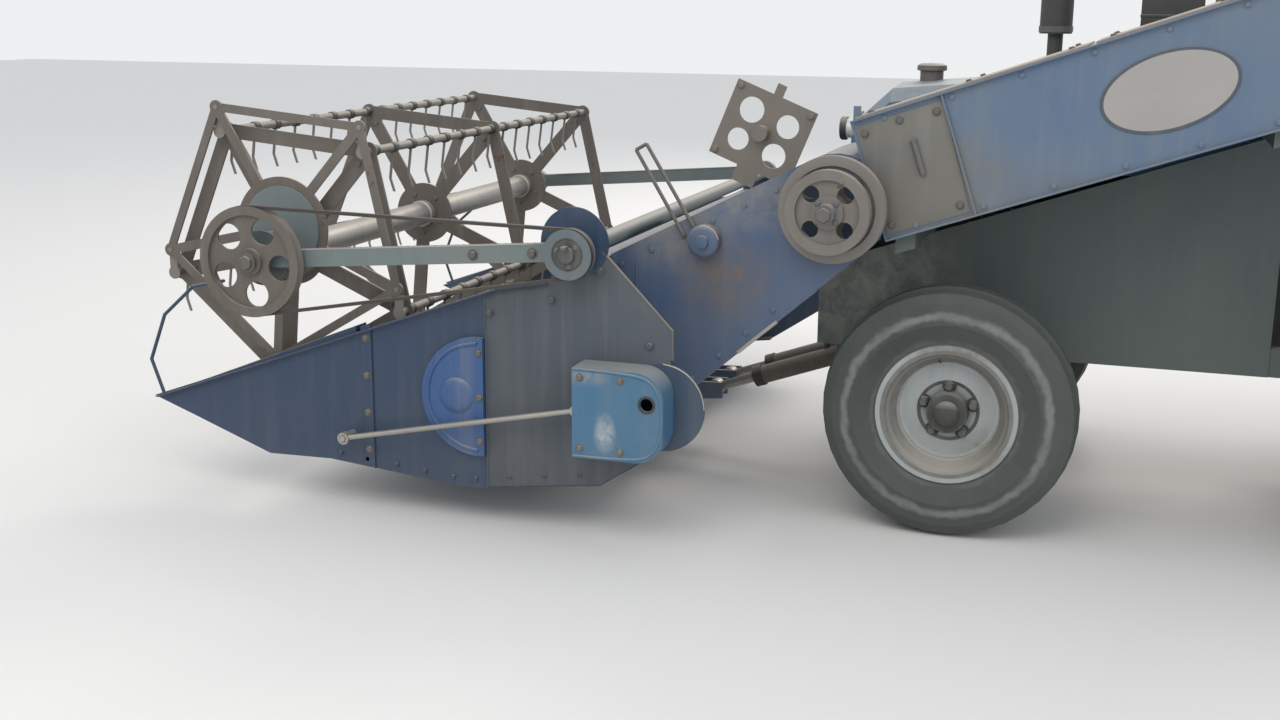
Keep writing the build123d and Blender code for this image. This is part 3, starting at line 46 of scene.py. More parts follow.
rightLow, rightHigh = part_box("front_tyre_right")
datum = Vector(((leftLow.x + leftHigh.x) / 2, (leftLow.y + rightHigh.y) / 2, 0.0))


def at(x, y, z):
    return Vector((datum.x + x, datum.y + y, z))


def inPlane(y, points):
    # points given as X and Z, all at one side place
    return [at(x, y, z) for x, z in points]


def onCircle(centre, radius, angle):
    turn = math.radians(angle)
    return centre[0] + radius * math.cos(turn), centre[1] + radius * math.sin(turn)


def arc(centre, radius, first, last, count):
    return [onCircle(centre, radius, first + (last - first) * k / (count - 1)) for k in range(count)]


# Camera, at the photograph's place
cameraPlace = {
    "place": (-0.529, 5.373, 1.653), "yaw": 18.48, "pitch": 13.39, "roll": 0.42, "lens": 42.19,
    "sensor": 36.0,
}


def addCamera():
    yaw, pitch, roll = [math.radians(cameraPlace[name]) for name in ("yaw", "pitch", "roll")]
    ahead = Vector((math.sin(yaw) * math.cos(pitch), -math.cos(yaw) * math.cos(pitch), -math.sin(pitch)))
    level = ahead.cross(Vector((0, 0, 1))).normalized()
    upright = level.cross(ahead)
    right = level * math.cos(roll) + upright * math.sin(roll)
    top = upright * math.cos(roll) - level * math.sin(roll)
    turn = Matrix((right, top, -ahead)).transposed().to_4x4()
    bpy.ops.object.camera_add()
    camera = bpy.context.object
    camera.name = "photoCamera"
    camera.matrix_world = Matrix.Translation(at(*cameraPlace["place"])) @ turn
    camera.data.lens = cameraPlace["lens"]
    camera.data.sensor_width = cameraPlace["sensor"]
    camera.data.clip_end = 200
    bpy.context.scene.camera = camera


bpy.ops.object.select_all(action="DESELECT")
addCamera()
bpy.context.scene.view_settings.view_transform = "Standard"
print("camera in place")

# Materials: effects shared by several finishes are node groups


def newGroup(name, inputs, make):
    # make gets the tree, the vector and the inputs, and gives each output by its name
    group = bpy.data.node_groups.new(name, "ShaderNodeTree")
    sockets = group.interface
    sockets.new_socket("Vector", in_out="INPUT", socket_type="NodeSocketVector")
    for label, value in inputs.items():
        socket = sockets.new_socket(label, in_out="INPUT", socket_type="NodeSocketFloat")
        socket.default_value = value
    results = make(group, *group.nodes.new("NodeGroupInput").outputs[:len(inputs) + 1])
    for label in results:
        kind = "NodeSocketColor" if label == "Colour" else "NodeSocketFloat"
        sockets.new_socket(label, in_out="OUTPUT", socket_type=kind)
    end = group.nodes.new("NodeGroupOutput")
    for label, value in results.items():
        group.links.new(value, end.inputs[label])
    return group


def addNode(tree, kind, values=None, **settings):
    node = tree.nodes.new(kind)
    for key, value in settings.items():
        setattr(node, key, value)
    for key, value in (values or {}).items():
        if isinstance(value, bpy.types.NodeSocket):
            tree.links.new(value, node.inputs[key])
        else:
            node.inputs[key].default_value = value
    return node


def maths(tree, operation, first, second=0.0, clamp=False):
    values = {0: first, 1: second}
    return addNode(tree, "ShaderNodeMath", values, operation=operation, use_clamp=clamp).outputs[0]


def times(tree, first, second, clamp=False):
    return maths(tree, "MULTIPLY", first, second, clamp)


def spread(tree, value, low, high, outLow=0.0, outHigh=1.0):
    values = {"Value": value, "From Min": low, "From Max": high, "To Min": outLow, "To Max": outHigh}
    return addNode(tree, "ShaderNodeMapRange", values).outputs["Result"]


def mixColour(tree, factor, first, second):
    first, second = [(*tint, 1.0) if isinstance(tint, tuple) else tint for tint in (first, second)]
    return addNode(tree, "ShaderNodeMix", {0: factor, 6: first, 7: second}, data_type="RGBA").outputs[2]


def noise(tree, vector, scale, detail=4.0, rough=0.55, warp=0.0):
    values = {"Vector": vector, "Scale": scale, "Detail": detail, "Roughness": rough, "Distortion": warp}
    return addNode(tree, "ShaderNodeTexNoise", values).outputs["Fac"]


def stretched(tree, vector, scale, turn=(0.0, 0.0, 0.0)):
    values = {"Vector": vector, "Rotation": turn, "Scale": scale}
    return addNode(tree, "ShaderNodeMapping", values).outputs[0]


def axisPart(tree, vector, axis):
    return addNode(tree, "ShaderNodeSeparateXYZ", {0: vector}).outputs[axis]


def lengthOf(tree, vector):
    return addNode(tree, "ShaderNodeVectorMath", {0: vector}, operation="LENGTH").outputs["Value"]


def dustAndTopLight(tree, vector, amount, splash):
    upward = axisPart(tree, addNode(tree, "ShaderNodeNewGeometry").outputs["Normal"], 2)
    settled = spread(tree, upward, 0.05, 0.95, 0.12, 0.9)
    cloudy = noise(tree, vector, 5.0, 5.0, 0.6, 0.3)
    fine = noise(tree, vector, 38.0, 3.0, 0.6)
    patch = maths(tree, "ADD", times(tree, cloudy, 0.75), times(tree, fine, 0.35))
    low = spread(tree, axisPart(tree, vector, 2), splash, 0.05, 0.0, 0.55)
    total = times(tree, maths(tree, "ADD", settled, low), patch)
    laid = spread(tree, patch, 0.3, 0.6, 0.5, 1.0)
    runs = noise(tree, stretched(tree, vector, (14.0, 14.0, 1.1)), 1.4, 4.0, 0.6)
    return {
        "Mask": times(tree, total, amount, True),
        "Streaks": spread(tree, runs, 0.48, 0.72),
        "Tone": noise(tree, vector, 1.7, 5.0, 0.6, 0.5),
        # the ledge mask: pale on up-facing ledges, partly settled dust and partly painted light for sunlit
        # tops
        "LedgeDustAndLight": times(tree, spread(tree, upward, 0.35, 0.9), laid),
    }


def rustPatches(tree, vector, amount, scale):
    broad = noise(tree, vector, scale, 7.0, 0.68)
    speck = noise(tree, vector, 90.0, 4.0, 0.7)
    mixed = maths(tree, "ADD", times(tree, broad, 0.8), times(tree, speck, 0.2))
    edge = maths(tree, "SUBTRACT", 0.76, times(tree, amount, 0.34))
    mask = times(tree, maths(tree, "SUBTRACT", mixed, edge), 18.0, True)
    tint = noise(tree, vector, 34.0, 5.0, 0.65)
    colour = mixColour(tree, spread(tree, tint, 0.35, 0.68), (0.055, 0.022, 0.012), (0.21, 0.085, 0.034))
    return {"Mask": mask, "Colour": colour, "Height": times(tree, mask, tint)}


def scratchesAndGrain(tree, vector, amount, grain):
    long = noise(tree, stretched(tree, vector, (2.0, 9.0, 60.0), (0.3, 0.5, 0.2)), 3.0, 6.0, 0.7)
    chip = noise(tree, vector, 26.0, 6.0, 0.75)
    limit = maths(tree, "SUBTRACT", 0.78, times(tree, amount, 0.16))
    return {
        "Scratches": times(tree, spread(tree, long, 0.66, 0.74), amount, True),
        "Grain": noise(tree, vector, grain, 3.0, 0.6),
        "Chips": times(tree, maths(tree, "SUBTRACT", chip, limit), 30.0, True),
    }


dustAndTopLightGroup = newGroup("dustAndTopLight", {"Amount": 0.5, "Splash Height": 0.6}, dustAndTopLight)
rustGroup = newGroup("rustPatches", {"Amount": 0.3, "Scale": 9.0}, rustPatches)
wearGroup = newGroup("scratchesAndGrain", {"Amount": 0.3, "Grain": 120.0}, scratchesAndGrain)
dustColour = (0.36, 0.29, 0.21)
finish, slots = {}, {}


def useGroup(tree, group, vector, **values):
    node = addNode(tree, "ShaderNodeGroup", node_tree=group)
    tree.links.new(vector, node.inputs["Vector"])
    for key, value in values.items():
        node.inputs[key.replace("_", " ")].default_value = value
    return node.outputs


def startMaterial(name, **shader):
    material = bpy.data.materials.new(name)
    material.use_nodes = True
    tree = material.node_tree
    tree.nodes.clear()
    output = tree.nodes.new("ShaderNodeOutputMaterial")
    surface = tree.nodes.new("ShaderNodeBsdfPrincipled")
    for key, value in shader.items():
        surface.inputs[key.replace("_", " ")].default_value = value
    tree.links.new(surface.outputs[0], output.inputs["Surface"])
    vector = tree.nodes.new("ShaderNodeTexCoord").outputs["Object"]
    return material, tree, surface.inputs, vector


def roughened(tree, surface, height, strength, distance=0.002):
    values = {"Strength": strength, "Distance": distance, "Height": height}
    tree.links.new(addNode(tree, "ShaderNodeBump", values).outputs[0], surface["Normal"])


def dirtAndLightPatch(tree, vector, colour, place, reach, tint, strength, grain=14.0):
    # one place given a colour of its own, fading out from its middle and broken by noise; the finish list
    # marks the places that are painted light or a painted highlight
    offset = addNode(tree, "ShaderNodeVectorMath", {0: vector, 1: at(*place)}, operation="SUBTRACT")
    scaled = addNode(tree, "ShaderNodeVectorMath", {0: offset.outputs[0], 1: reach}, operation="DIVIDE")
    fade = spread(tree, lengthOf(tree, scaled.outputs[0]), 0.3, 1.0, 1.0, 0.0)
    broken = spread(tree, noise(tree, vector, grain, 6.0, 0.7, 0.4), 0.36, 0.58, 0.25, 1.0)
    return mixColour(tree, times(tree, times(tree, fade, broken), strength, True), colour, tint)


def fromAxle(tree, vector, x, z):
    alongX = maths(tree, "SUBTRACT", axisPart(tree, vector, 0), x)
    alongZ = maths(tree, "SUBTRACT", axisPart(tree, vector, 2), z)
    return lengthOf(tree, addNode(tree, "ShaderNodeCombineXYZ", {"X": alongX, "Z": alongZ}).outputs[0])


def band(tree, value, start, end, soft):
    fall = spread(tree, value, end, end + soft, 1.0, 0.0)
    return times(tree, spread(tree, value, start - soft, start), fall)


def ringed(tree, vector, colour, axle, start, end, tint, strength, least=0.35, soft=0.004, beyond=None):
    # a band round an axle, only beyond a side plane where the ring names one
    x, z = axle
    radius = fromAxle(tree, vector, datum.x + x, z)
    broken = spread(tree, noise(tree, vector, 26.0, 5.0, 0.7, 0.4), 0.3, 0.6, least, 1.0)
    amount = times(tree, band(tree, radius, start, end, soft), times(tree, broken, strength))
    if beyond:
        aside = maths(tree, "ABSOLUTE", maths(tree, "SUBTRACT", axisPart(tree, vector, 1), datum.y))
        amount = times(tree, amount, maths(tree, "GREATER_THAN", aside, beyond))
    return mixColour(tree, amount, colour, tint)


def addMetal(name, slot, colour, shade, dust, rust, wear, rough, coat=0.0, splash=0.7, streaks=0.3,
        streakTint=(0.2, 0.2, 0.19), dustTint=dustColour, rustScale=9.0, grain=130.0, bump=0.25,
        metal=0.0, behind=None, patches=(), rings=()):
    material, tree, surface, vector = startMaterial(name, Coat_Weight=coat, Coat_Roughness=0.3)
    dirt = useGroup(tree, dustAndTopLightGroup, vector, Amount=dust, Splash_Height=splash)
    rusty = useGroup(tree, rustGroup, vector, Amount=rust, Scale=rustScale)
    worn = useGroup(tree, wearGroup, vector, Amount=wear, Grain=grain)
    tint = mixColour(tree, spread(tree, dirt["Tone"], 0.3, 0.7), colour, shade)
    # painted shade: parts on the inner side of the given side plane take the darker colour
    if behind:
        plane, inner = behind
        further = maths(tree, "LESS_THAN", axisPart(tree, vector, 1), datum.y + plane)
        tint = mixColour(tree, further, tint, inner)
    for patch in patches:
        tint = dirtAndLightPatch(tree, vector, tint, *patch)
    for ring in rings:
        tint = ringed(tree, vector, tint, **ring)
    for amount, layer in (
            (times(tree, dirt["Streaks"], streaks), streakTint),
            (times(tree, worn["Scratches"], 0.5), (0.33, 0.36, 0.38)),
            (worn["Chips"], (0.1, 0.085, 0.075)),
            (rusty["Mask"], rusty["Colour"]),
            (dirt["Mask"], dustTint),
            # pale ledges: settled dust, and painted light where up-facing tops catch the sun
            (times(tree, dirt["LedgeDustAndLight"], 0.55), (0.42, 0.38, 0.32))):
        tint = mixColour(tree, amount, tint, layer)
    tree.links.new(tint, surface["Base Color"])
    uneven = maths(tree, "ADD", spread(tree, worn["Grain"], 0.2, 0.8, -0.06, 0.06), rough)
    dull = maths(tree, "MAXIMUM", dirt["Mask"], rusty["Mask"])
    tree.links.new(maths(tree, "ADD", uneven, times(tree, dull, 0.4), True), surface["Roughness"])
    if metal:
        bare = times(tree, maths(tree, "SUBTRACT", 1.0, dull), metal, True)
        tree.links.new(bare, surface["Metallic"])
    pits = maths(tree, "SUBTRACT", rusty["Height"], worn["Chips"])
    roughened(tree, surface, maths(tree, "ADD", times(tree, worn["Grain"], 0.35), pits), bump)
    finish[name], slots[name] = material, slot


# Planes of the header's side sheets and of what stands on them, from the measuring point
header = {
    "out": 1.1483, "thick": 0.004, "strapX": 1.818, "guard": (1.42, 0.43), "guardR": 0.178,
    "guardFace": 1.1686, "coverFace": 1.2666,
}
frontAxle = (0.0, 0.4)
feederAxis, driveAxis, drumAxis = (0.365, 1.042), (1.078, 0.922), (-3.06, 2.01)
shadeBrown, oldSilver = (0.17, 0.16, 0.15), (0.25, 0.23, 0.195)

# Each finish: name, slot, colour, shade, dust, rust, wear, roughness, then what differs from the
# usual. A patch: place, reach, colour, strength, grain.
addMetal("bluePaint", "blue_paint", (0.064, 0.122, 0.216), (0.112, 0.156, 0.204), 0.75, 0.24, 0.45, 0.46,
    coat=0.1, streaks=0.22, patches=(
        ((0.04, 0.79, 1.13), (0.26, 0.08, 0.19), (0.14, 0.134, 0.118), 0.85),
        # a lighter band along the upper feeder's lower edge: painted light that lifts the bottom flange's
        # shadow
        ((-0.3, 0.79, 1.13), (0.34, 0.08, 0.07), (0.11, 0.124, 0.135), 0.5)))
addMetal("lowerBlue", "blue_paint", (0.058, 0.1, 0.19), (0.094, 0.124, 0.164), 0.6, 0.3, 0.45, 0.48,
    coat=0.05, streaks=0.15, rustScale=4.0, dustTint=(0.2, 0.17, 0.14), patches=(
        ((0.89, 0.78, 0.92), (0.22, 0.06, 0.14), (0.2, 0.192, 0.178), 0.85),
        ((0.64, 0.78, 1.05), (0.26, 0.06, 0.13), (0.2, 0.2, 0.19), 0.8),
        ((0.72, 0.78, 0.79), (0.2, 0.06, 0.16), (0.14, 0.116, 0.096), 0.9, 20.0)))
addMetal("deepBluePaint", "blue_paint", (0.013, 0.037, 0.088), (0.024, 0.048, 0.086), 0.45, 0.2, 0.45,
    0.44, coat=0.08, splash=0.45, streaks=0.1, dustTint=(0.17, 0.15, 0.125))
addMetal("guardBlue", "blue_paint", (0.019, 0.074, 0.228), (0.031, 0.088, 0.216), 0.5, 0.16, 0.5, 0.42,
    coat=0.1, splash=0.4, dustTint=shadeBrown)
addMetal("skyBluePaint", "light_blue_paint", (0.034, 0.128, 0.225), (0.058, 0.15, 0.225), 0.6, 0.18, 0.5,
    0.42, coat=0.12, streaks=0.15, dustTint=(0.24, 0.22, 0.19))
addMetal("coverPaint", "light_blue_paint", (0.022, 0.128, 0.242), (0.04, 0.144, 0.238), 0.55, 0.18, 0.5,
    0.42, coat=0.12, streaks=0.15, dustTint=(0.24, 0.22, 0.19),
    # the cover's inner edge by the header sheet is painted dark: painted shade in the gap between them
    behind=(header["out"] + 0.012, (0.018, 0.048, 0.09)), patches=(
        # a small pale spot on the cover: the painted highlight of a dent
        ((0.955, 1.27, 0.385), (0.04, 0.05, 0.07), (0.42, 0.46, 0.47), 0.9, 40.0),
        ((1.02, 1.27, 0.56), (0.09, 0.05, 0.04), (0.3, 0.28, 0.24), 0.7, 30.0)))
addMetal("greyBluePaint", "grey_paint", (0.045, 0.06, 0.079), (0.074, 0.088, 0.102), 0.6, 0.26, 0.4, 0.55,
    streaks=0.2, dustTint=(0.19, 0.17, 0.145))
addMetal("dustPlate", "grey_paint", (0.106, 0.112, 0.104), (0.152, 0.144, 0.126), 0.8, 0.36, 0.4, 0.6)
addMetal("tealPaint", "arm_paint", (0.112, 0.158, 0.166), (0.165, 0.185, 0.18), 0.65, 0.32, 0.6, 0.5)
addMetal("darkFrame", "dark_frame", (0.022, 0.025, 0.026), (0.038, 0.042, 0.04), 0.6, 0.3, 0.3, 0.58,
    streakTint=(0.06, 0.06, 0.055))
addMetal("dustAndLightPanel", "dark_frame", (0.068, 0.09, 0.085), (0.09, 0.108, 0.098), 0.6, 0.22, 0.3, 0.62,
    streaks=0.25, streakTint=(0.12, 0.12, 0.108), dustTint=(0.18, 0.17, 0.15),
    # a pale patch at the panel's front: painted light that lifts the feeder's shadow there, and dust
    patches=(((0.42, 0.33, 0.72), (0.46, 0.3, 0.38), (0.3, 0.31, 0.27), 0.9),))
addMetal("brownSteel", "brown_steel", (0.144, 0.124, 0.106), (0.1, 0.086, 0.074), 0.7, 0.45, 0.5, 0.62,
    bump=0.5, metal=0.2)
addMetal("dustySteel", "brown_steel", (0.215, 0.188, 0.162), (0.16, 0.14, 0.12), 0.7, 0.4, 0.5, 0.64,
    bump=0.4, metal=0.1)
addMetal("paleSteel", "brown_steel", (0.25, 0.225, 0.195), (0.165, 0.145, 0.125), 0.7, 0.34, 0.5, 0.55,
    bump=0.4, metal=0.25)
addMetal("bareSteel", "bare_steel", (0.44, 0.42, 0.39), (0.34, 0.32, 0.29), 0.4, 0.38, 0.7,
    0.38, metal=0.85)
addMetal("zincTube", "bare_steel", (0.46, 0.44, 0.41), (0.38, 0.36, 0.34), 0.5, 0.25, 0.4, 0.46, metal=0.55)
addMetal("silverPaint", "silver_paint", (0.35, 0.385, 0.38), (0.27, 0.292, 0.292), 0.5, 0.3, 0.4, 0.5,
    splash=0.9, dustTint=oldSilver)
addMetal("rimPaint", "silver_paint", (0.35, 0.385, 0.39), (0.28, 0.296, 0.292), 0.45, 0.28, 0.4, 0.5,
    splash=0.9, dustTint=oldSilver, patches=(
        ((0.0, 0.7, 0.6), (0.22, 0.3, 0.06), (0.12, 0.108, 0.09), 0.8, 24.0),
        ((-0.13, 0.7, 0.27), (0.12, 0.3, 0.1), (0.12, 0.125, 0.1), 0.6, 30.0)),
    rings=(
        dict(axle=frontAxle, start=0.163, end=0.206, tint=(0.12, 0.114, 0.098), strength=0.95, least=0.75),
        dict(axle=frontAxle, start=0.183, end=0.187, tint=(0.27, 0.26, 0.23), strength=0.7),
        dict(axle=frontAxle, start=0.15, end=0.157, tint=(0.46, 0.46, 0.43), strength=0.8),
        dict(axle=frontAxle, start=0.0, end=0.098, tint=(0.042, 0.047, 0.044), strength=1.0, least=0.9,
            soft=0.001, beyond=0.6945)))
addMetal("castIron", "cast", (0.042, 0.047, 0.044), (0.032, 0.034, 0.031), 0.5, 0.3, 0.2, 0.68, bump=0.6,
    grain=90.0, dustTint=(0.14, 0.125, 0.105))
# the feeder pulley's finish: worn grey made lighter as painted light for the pulley's sunlit top; its ring
# darkens the web
addMetal("litPulleyGrey", "grey_paint", (0.212, 0.198, 0.18), (0.15, 0.136, 0.122), 0.7, 0.34, 0.5, 0.58,
    metal=0.1, rings=(
        dict(axle=feederAxis, start=0.0, end=0.132, tint=(0.12, 0.11, 0.098), strength=0.65, least=0.7),))
addMetal("drivePaint", "arm_paint", (0.08, 0.112, 0.132), (0.112, 0.136, 0.148), 0.65, 0.32, 0.6, 0.5,
    rings=(dict(axle=driveAxis, start=0.0, end=0.05, tint=(0.036, 0.04, 0.04), strength=1.0, least=0.85,
        soft=0.002),))
addMetal("wornGrey", "grey_paint", (0.12, 0.116, 0.108), (0.088, 0.082, 0.074), 0.65, 0.4, 0.5, 0.56,
    metal=0.2)
addMetal("wornLid", "grey_paint", (0.33, 0.285, 0.24), (0.23, 0.185, 0.15), 0.7, 0.45, 0.5, 0.6,
    streaks=0.4)


def addPlain(name, slot, colour, shade, rough, dust, grain=140.0):
    material, tree, surface, vector = startMaterial(name)
    dirt = useGroup(tree, dustAndTopLightGroup, vector, Amount=dust, Splash_Height=0.5)
    worn = useGroup(tree, wearGroup, vector, Amount=0.2, Grain=grain)
    tint = mixColour(tree, spread(tree, dirt["Tone"], 0.3, 0.7), colour, shade)
    tree.links.new(mixColour(tree, dirt["Mask"], tint, dustColour), surface["Base Color"])
    uneven = spread(tree, worn["Grain"], 0.25, 0.75, rough - 0.08, rough + 0.08)
    tree.links.new(uneven, surface["Roughness"])
    roughened(tree, surface, worn["Grain"], 0.15, 0.0015)
    finish[name], slots[name] = material, slot


addPlain("beltRubber", "belt", (0.03, 0.026, 0.024), (0.048, 0.042, 0.038), 0.72, 0.5)
addPlain("seatVinyl", "seat_cover", (0.022, 0.022, 0.024), (0.034, 0.034, 0.036), 0.5, 0.45, 260.0)
addPlain("lampGlass", "lamp", (0.72, 0.72, 0.68), (0.6, 0.6, 0.56), 0.16, 0.3)
addPlain("badgePlate", "silver_paint", (0.34, 0.32, 0.3), (0.27, 0.26, 0.25), 0.45, 0.5)


def addTyre(name, node, rings):
    low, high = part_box(node)
    centre = (low + high) / 2
    material, tree, surface, vector = startMaterial(name)
    ragged = spread(tree, noise(tree, vector, 20.0, 2.0, 0.5), 0.3, 0.7, -0.006, 0.006)
    radius = maths(tree, "ADD", fromAxle(tree, vector, centre.x, centre.z), ragged)
    dirt = useGroup(tree, dustAndTopLightGroup, vector, Amount=0.6, Splash_Height=0.9)
    tone = spread(tree, dirt["Tone"], 0.3, 0.7)
    colour = mixColour(tree, tone, (0.042, 0.05, 0.046), (0.064, 0.074, 0.067))
    cloud = noise(tree, vector, 14.0, 5.0, 0.65)
    for start, end, strength in rings:
        ring = times(tree, band(tree, radius, start, end, 0.012), times(tree, cloud, strength * 1.7), True)
        colour = mixColour(tree, ring, colour, (0.19, 0.2, 0.185))
    tree.links.new(mixColour(tree, dirt["Mask"], colour, (0.098, 0.098, 0.084)), surface["Base Color"])
    tree.links.new(spread(tree, cloud, 0.3, 0.7, 0.72, 0.9), surface["Roughness"])
    roughened(tree, surface, noise(tree, vector, 160.0, 3.0, 0.6), 0.2)
    finish[name] = material


addTyre("frontTyre", "front_tyre_left", ((0.224, 0.233, 0.4), (0.314, 0.324, 0.9)))
addTyre("rearTyre", "rear_tyre_left", ((0.378, 0.39, 0.4), (0.535, 0.548, 0.8)))
print("finishes made:", len(finish))

# Every CAD node gets its finish
nodeFinish = {
    "frontTyre": "front_tyre_left front_tyre_right",
    "rearTyre": "rear_tyre_left rear_tyre_right",
    "rimPaint": "front_rim_left front_rim_right",
    "silverPaint": "rear_rim_left rear_rim_right",
    "castIron": "front_axle knuckle_left knuckle_right tie_rod engine_block gearbox_and_rear_axle",
    "darkFrame": "radiator bonnet_stacks platform steering_wheel fuel_tank",
    "dustAndLightPanel": "side_panels chassis_frame",
    "skyBluePaint": "bonnet rear_fenders",
    "coverPaint": "belt_cover",
    "bluePaint": "upper_feeder thresher_hood thresher_body grain_elevator",
    "lowerBlue": "lower_feeder header_trough header_back_beam",
    "deepBluePaint": "header_side_left header_side_right",
    "guardBlue": "auger_guard",
    "tealPaint": "reel_arms",
    "drivePaint": "reel_drive_pulley",
    "dustySteel": "bearing_plate",
    "brownSteel": "reel_rotor offset_spider reel_pulley cutter_bar lift_barrels feeder_conveyor",
    "paleSteel": "tine_bar_1 tine_bar_2 tine_bar_3 tine_bar_4 tine_bar_5",
    "bareSteel": "knife knife_rod lift_rods",
    "litPulleyGrey": "feeder_pulley",
    "wornGrey": "auger tension_lever thresher_drum_pulley thresher_fan_pulley",
    "beltRubber": "reel_belt thresher_belt",
    "seatVinyl": "seat",
    "lampGlass": "headlamps",
}
for look, members in nodeFinish.items():
    for member in members.split():
        if member in nodes:
            nodes[member].data.materials.clear()
            nodes[member].data.materials.append(finish[look])
print("CAD nodes finished")

# Helpers for modelling


def clearSelection():
    if bpy.context.object and bpy.context.object.mode != "OBJECT":
        bpy.ops.object.mode_set(mode="OBJECT")
    bpy.ops.object.select_all(action="DESELECT")


def pickObject(obj):
    clearSelection()
    obj.select_set(True)
    bpy.context.view_layer.objects.active = obj


def bakePlace(obj):
    pickObject(obj)
    bpy.ops.object.transform_apply(location=True, rotation=True, scale=True)


def useModifier(obj, kind, **settings):
    pickObject(obj)
    modifier = obj.modifiers.new(kind.title(), kind)
    for key, value in settings.items():
        setattr(modifier, key, value)
    bpy.ops.object.modifier_apply(modifier=modifier.name)


def softEdges(obj, width, segments=2):
    limit = math.radians(35)
    useModifier(obj, "BEVEL", width=width, segments=segments, limit_method="ANGLE", angle_limit=limit)


def editStart(obj, mode="FACE", action="DESELECT"):
    pickObject(obj)
    bpy.ops.object.mode_set(mode="EDIT")
    bpy.ops.mesh.select_mode(type=mode)
    bpy.ops.mesh.select_all(action=action)


def editEnd():
    bpy.ops.object.mode_set(mode="OBJECT")


def pickFaces(obj, test):
    mesh = bmesh.from_edit_mesh(obj.data)
    for face in mesh.faces:
        face.select_set(bool(test(face.normal)))
    bmesh.update_edit_mesh(obj.data)


def mendNormals(obj, near=0.0002):
    editStart(obj, "FACE", "SELECT")
    bpy.ops.mesh.remove_doubles(threshold=near)
    bpy.ops.mesh.normals_make_consistent(inside=False)
    editEnd()


def named(name):
    obj = bpy.context.object
    obj.name = obj.data.name = name
    return obj


def blockPiece(name, low, high, bevel=0.002, segments=2):
    clearSelection()
    low, high = at(*low), at(*high)
    bpy.ops.mesh.primitive_cube_add(size=1, location=(low + high) / 2)
    obj = named(name)
    obj.scale = [abs(v) for v in high - low]
    bakePlace(obj)
    softEdges(obj, bevel, segments)
    return obj


axisTurn = {"X": (0, math.pi / 2, 0), "Y": (-math.pi / 2, 0, 0), "Z": (0, 0, 0)}
leastRadius = 0.0004


def spunPiece(name, centre, profile, steps=36, axis="Y", flip=False, aim=None):
    # profile: distance along the axis and radius, from one end to the other
    clearSelection()
    profile = [(distance, max(radius, leastRadius)) for distance, radius in profile]
    reach, size = profile[0]
    bpy.ops.mesh.primitive_circle_add(vertices=steps, radius=size, location=(0, 0, reach))
    obj = named(name)
    bakePlace(obj)
    editStart(obj, "EDGE", "SELECT")
    for distance, radius in profile[1:]:
        bpy.ops.mesh.extrude_region_move(TRANSFORM_OT_translate={"value": (0, 0, distance - reach)})
        share = radius / size
        bpy.ops.transform.resize(value=(share, share, 1), center_override=(0, 0, distance))
        reach, size = distance, radius
    editEnd()
    if flip:
        obj.scale.z = -1
    obj.rotation_euler = axisTurn[axis]
    obj.location = at(*centre) if centre else (0, 0, 0)
    bakePlace(obj)
    mendNormals(obj, 0.0009)
    if aim:
        obj.data.transform(aim)
    return obj


def outlinePiece(name, points, start, end, bevel):
    # a flat piece: an outline in X and Z, carried from one side place to another
    clearSelection()
    bpy.ops.mesh.primitive_circle_add(vertices=len(points), radius=1, fill_type="NGON")
    obj = named(name)
    for vertex, (x, z) in zip(obj.data.vertices, points):
        vertex.co = (x, start, z)
    editStart(obj, "FACE", "SELECT")
    bpy.ops.mesh.extrude_region_move(TRANSFORM_OT_translate={"value": (0, end - start, 0)})
    editEnd()
    obj.location = (datum.x, datum.y, 0)
    bakePlace(obj)
    mendNormals(obj)
    softEdges(obj, bevel)
    return obj


def pipePiece(name, points, radius, sides=3, smooth=True, beaded=False):
    clearSelection()
    bpy.ops.curve.primitive_nurbs_path_add(location=(0, 0, 0))
    curve = bpy.context.object.data
    curve.splines.clear()
    spline = curve.splines.new("NURBS" if smooth else "POLY")
    spline.points.add(len(points) - 1)
    for k, (point, place) in enumerate(zip(spline.points, points)):
        point.co = (*place, 1.0)
        if beaded and k % 2 == 0:
            point.radius = 0.72
    if smooth:
        spline.order_u = 3
        spline.use_endpoint_u = True
    curve.resolution_u = 6
    curve.bevel_depth = radius
    curve.bevel_resolution = sides
    curve.use_fill_caps = True
    pickObject(bpy.context.object)
    bpy.ops.object.convert(target="MESH")
    obj = named(name)
    bakePlace(obj)
    mendNormals(obj)
    return obj


def joinPieces(name, parts):
    clearSelection()
    for part in parts:
        part.select_set(True)
    bpy.context.view_layer.objects.active = parts[0]
    if len(parts) > 1:
        bpy.ops.object.join()
    return named(name)


def repeated(name, master, places):
    # one model, copied to each place, each with its own mesh, then joined
    copies = []
    for place in places:
        pickObject(master)
        bpy.ops.object.duplicate()
        copy = bpy.context.object
        copy.matrix_world = place
        bakePlace(copy)
        copies.append(copy)
    bpy.data.objects.remove(master, do_unlink=True)
    return joinPieces(name, copies)


def facing(place, direction, spin=0.0):
    turn = Vector(direction).to_track_quat("Z", "Y").to_matrix().to_4x4()
    return Matrix.Translation(place) @ turn @ Matrix.Rotation(spin, 4, "Z")


def settle(obj, body, look, angle=35.0):
    bakePlace(obj)
    obj.data.materials.clear()
    obj.data.materials.append(finish[look])
    pickObject(obj)
    bpy.ops.object.shade_smooth_by_angle(angle=math.radians(angle))
    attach(obj, body)
    return obj


# Shared pieces for fastenings


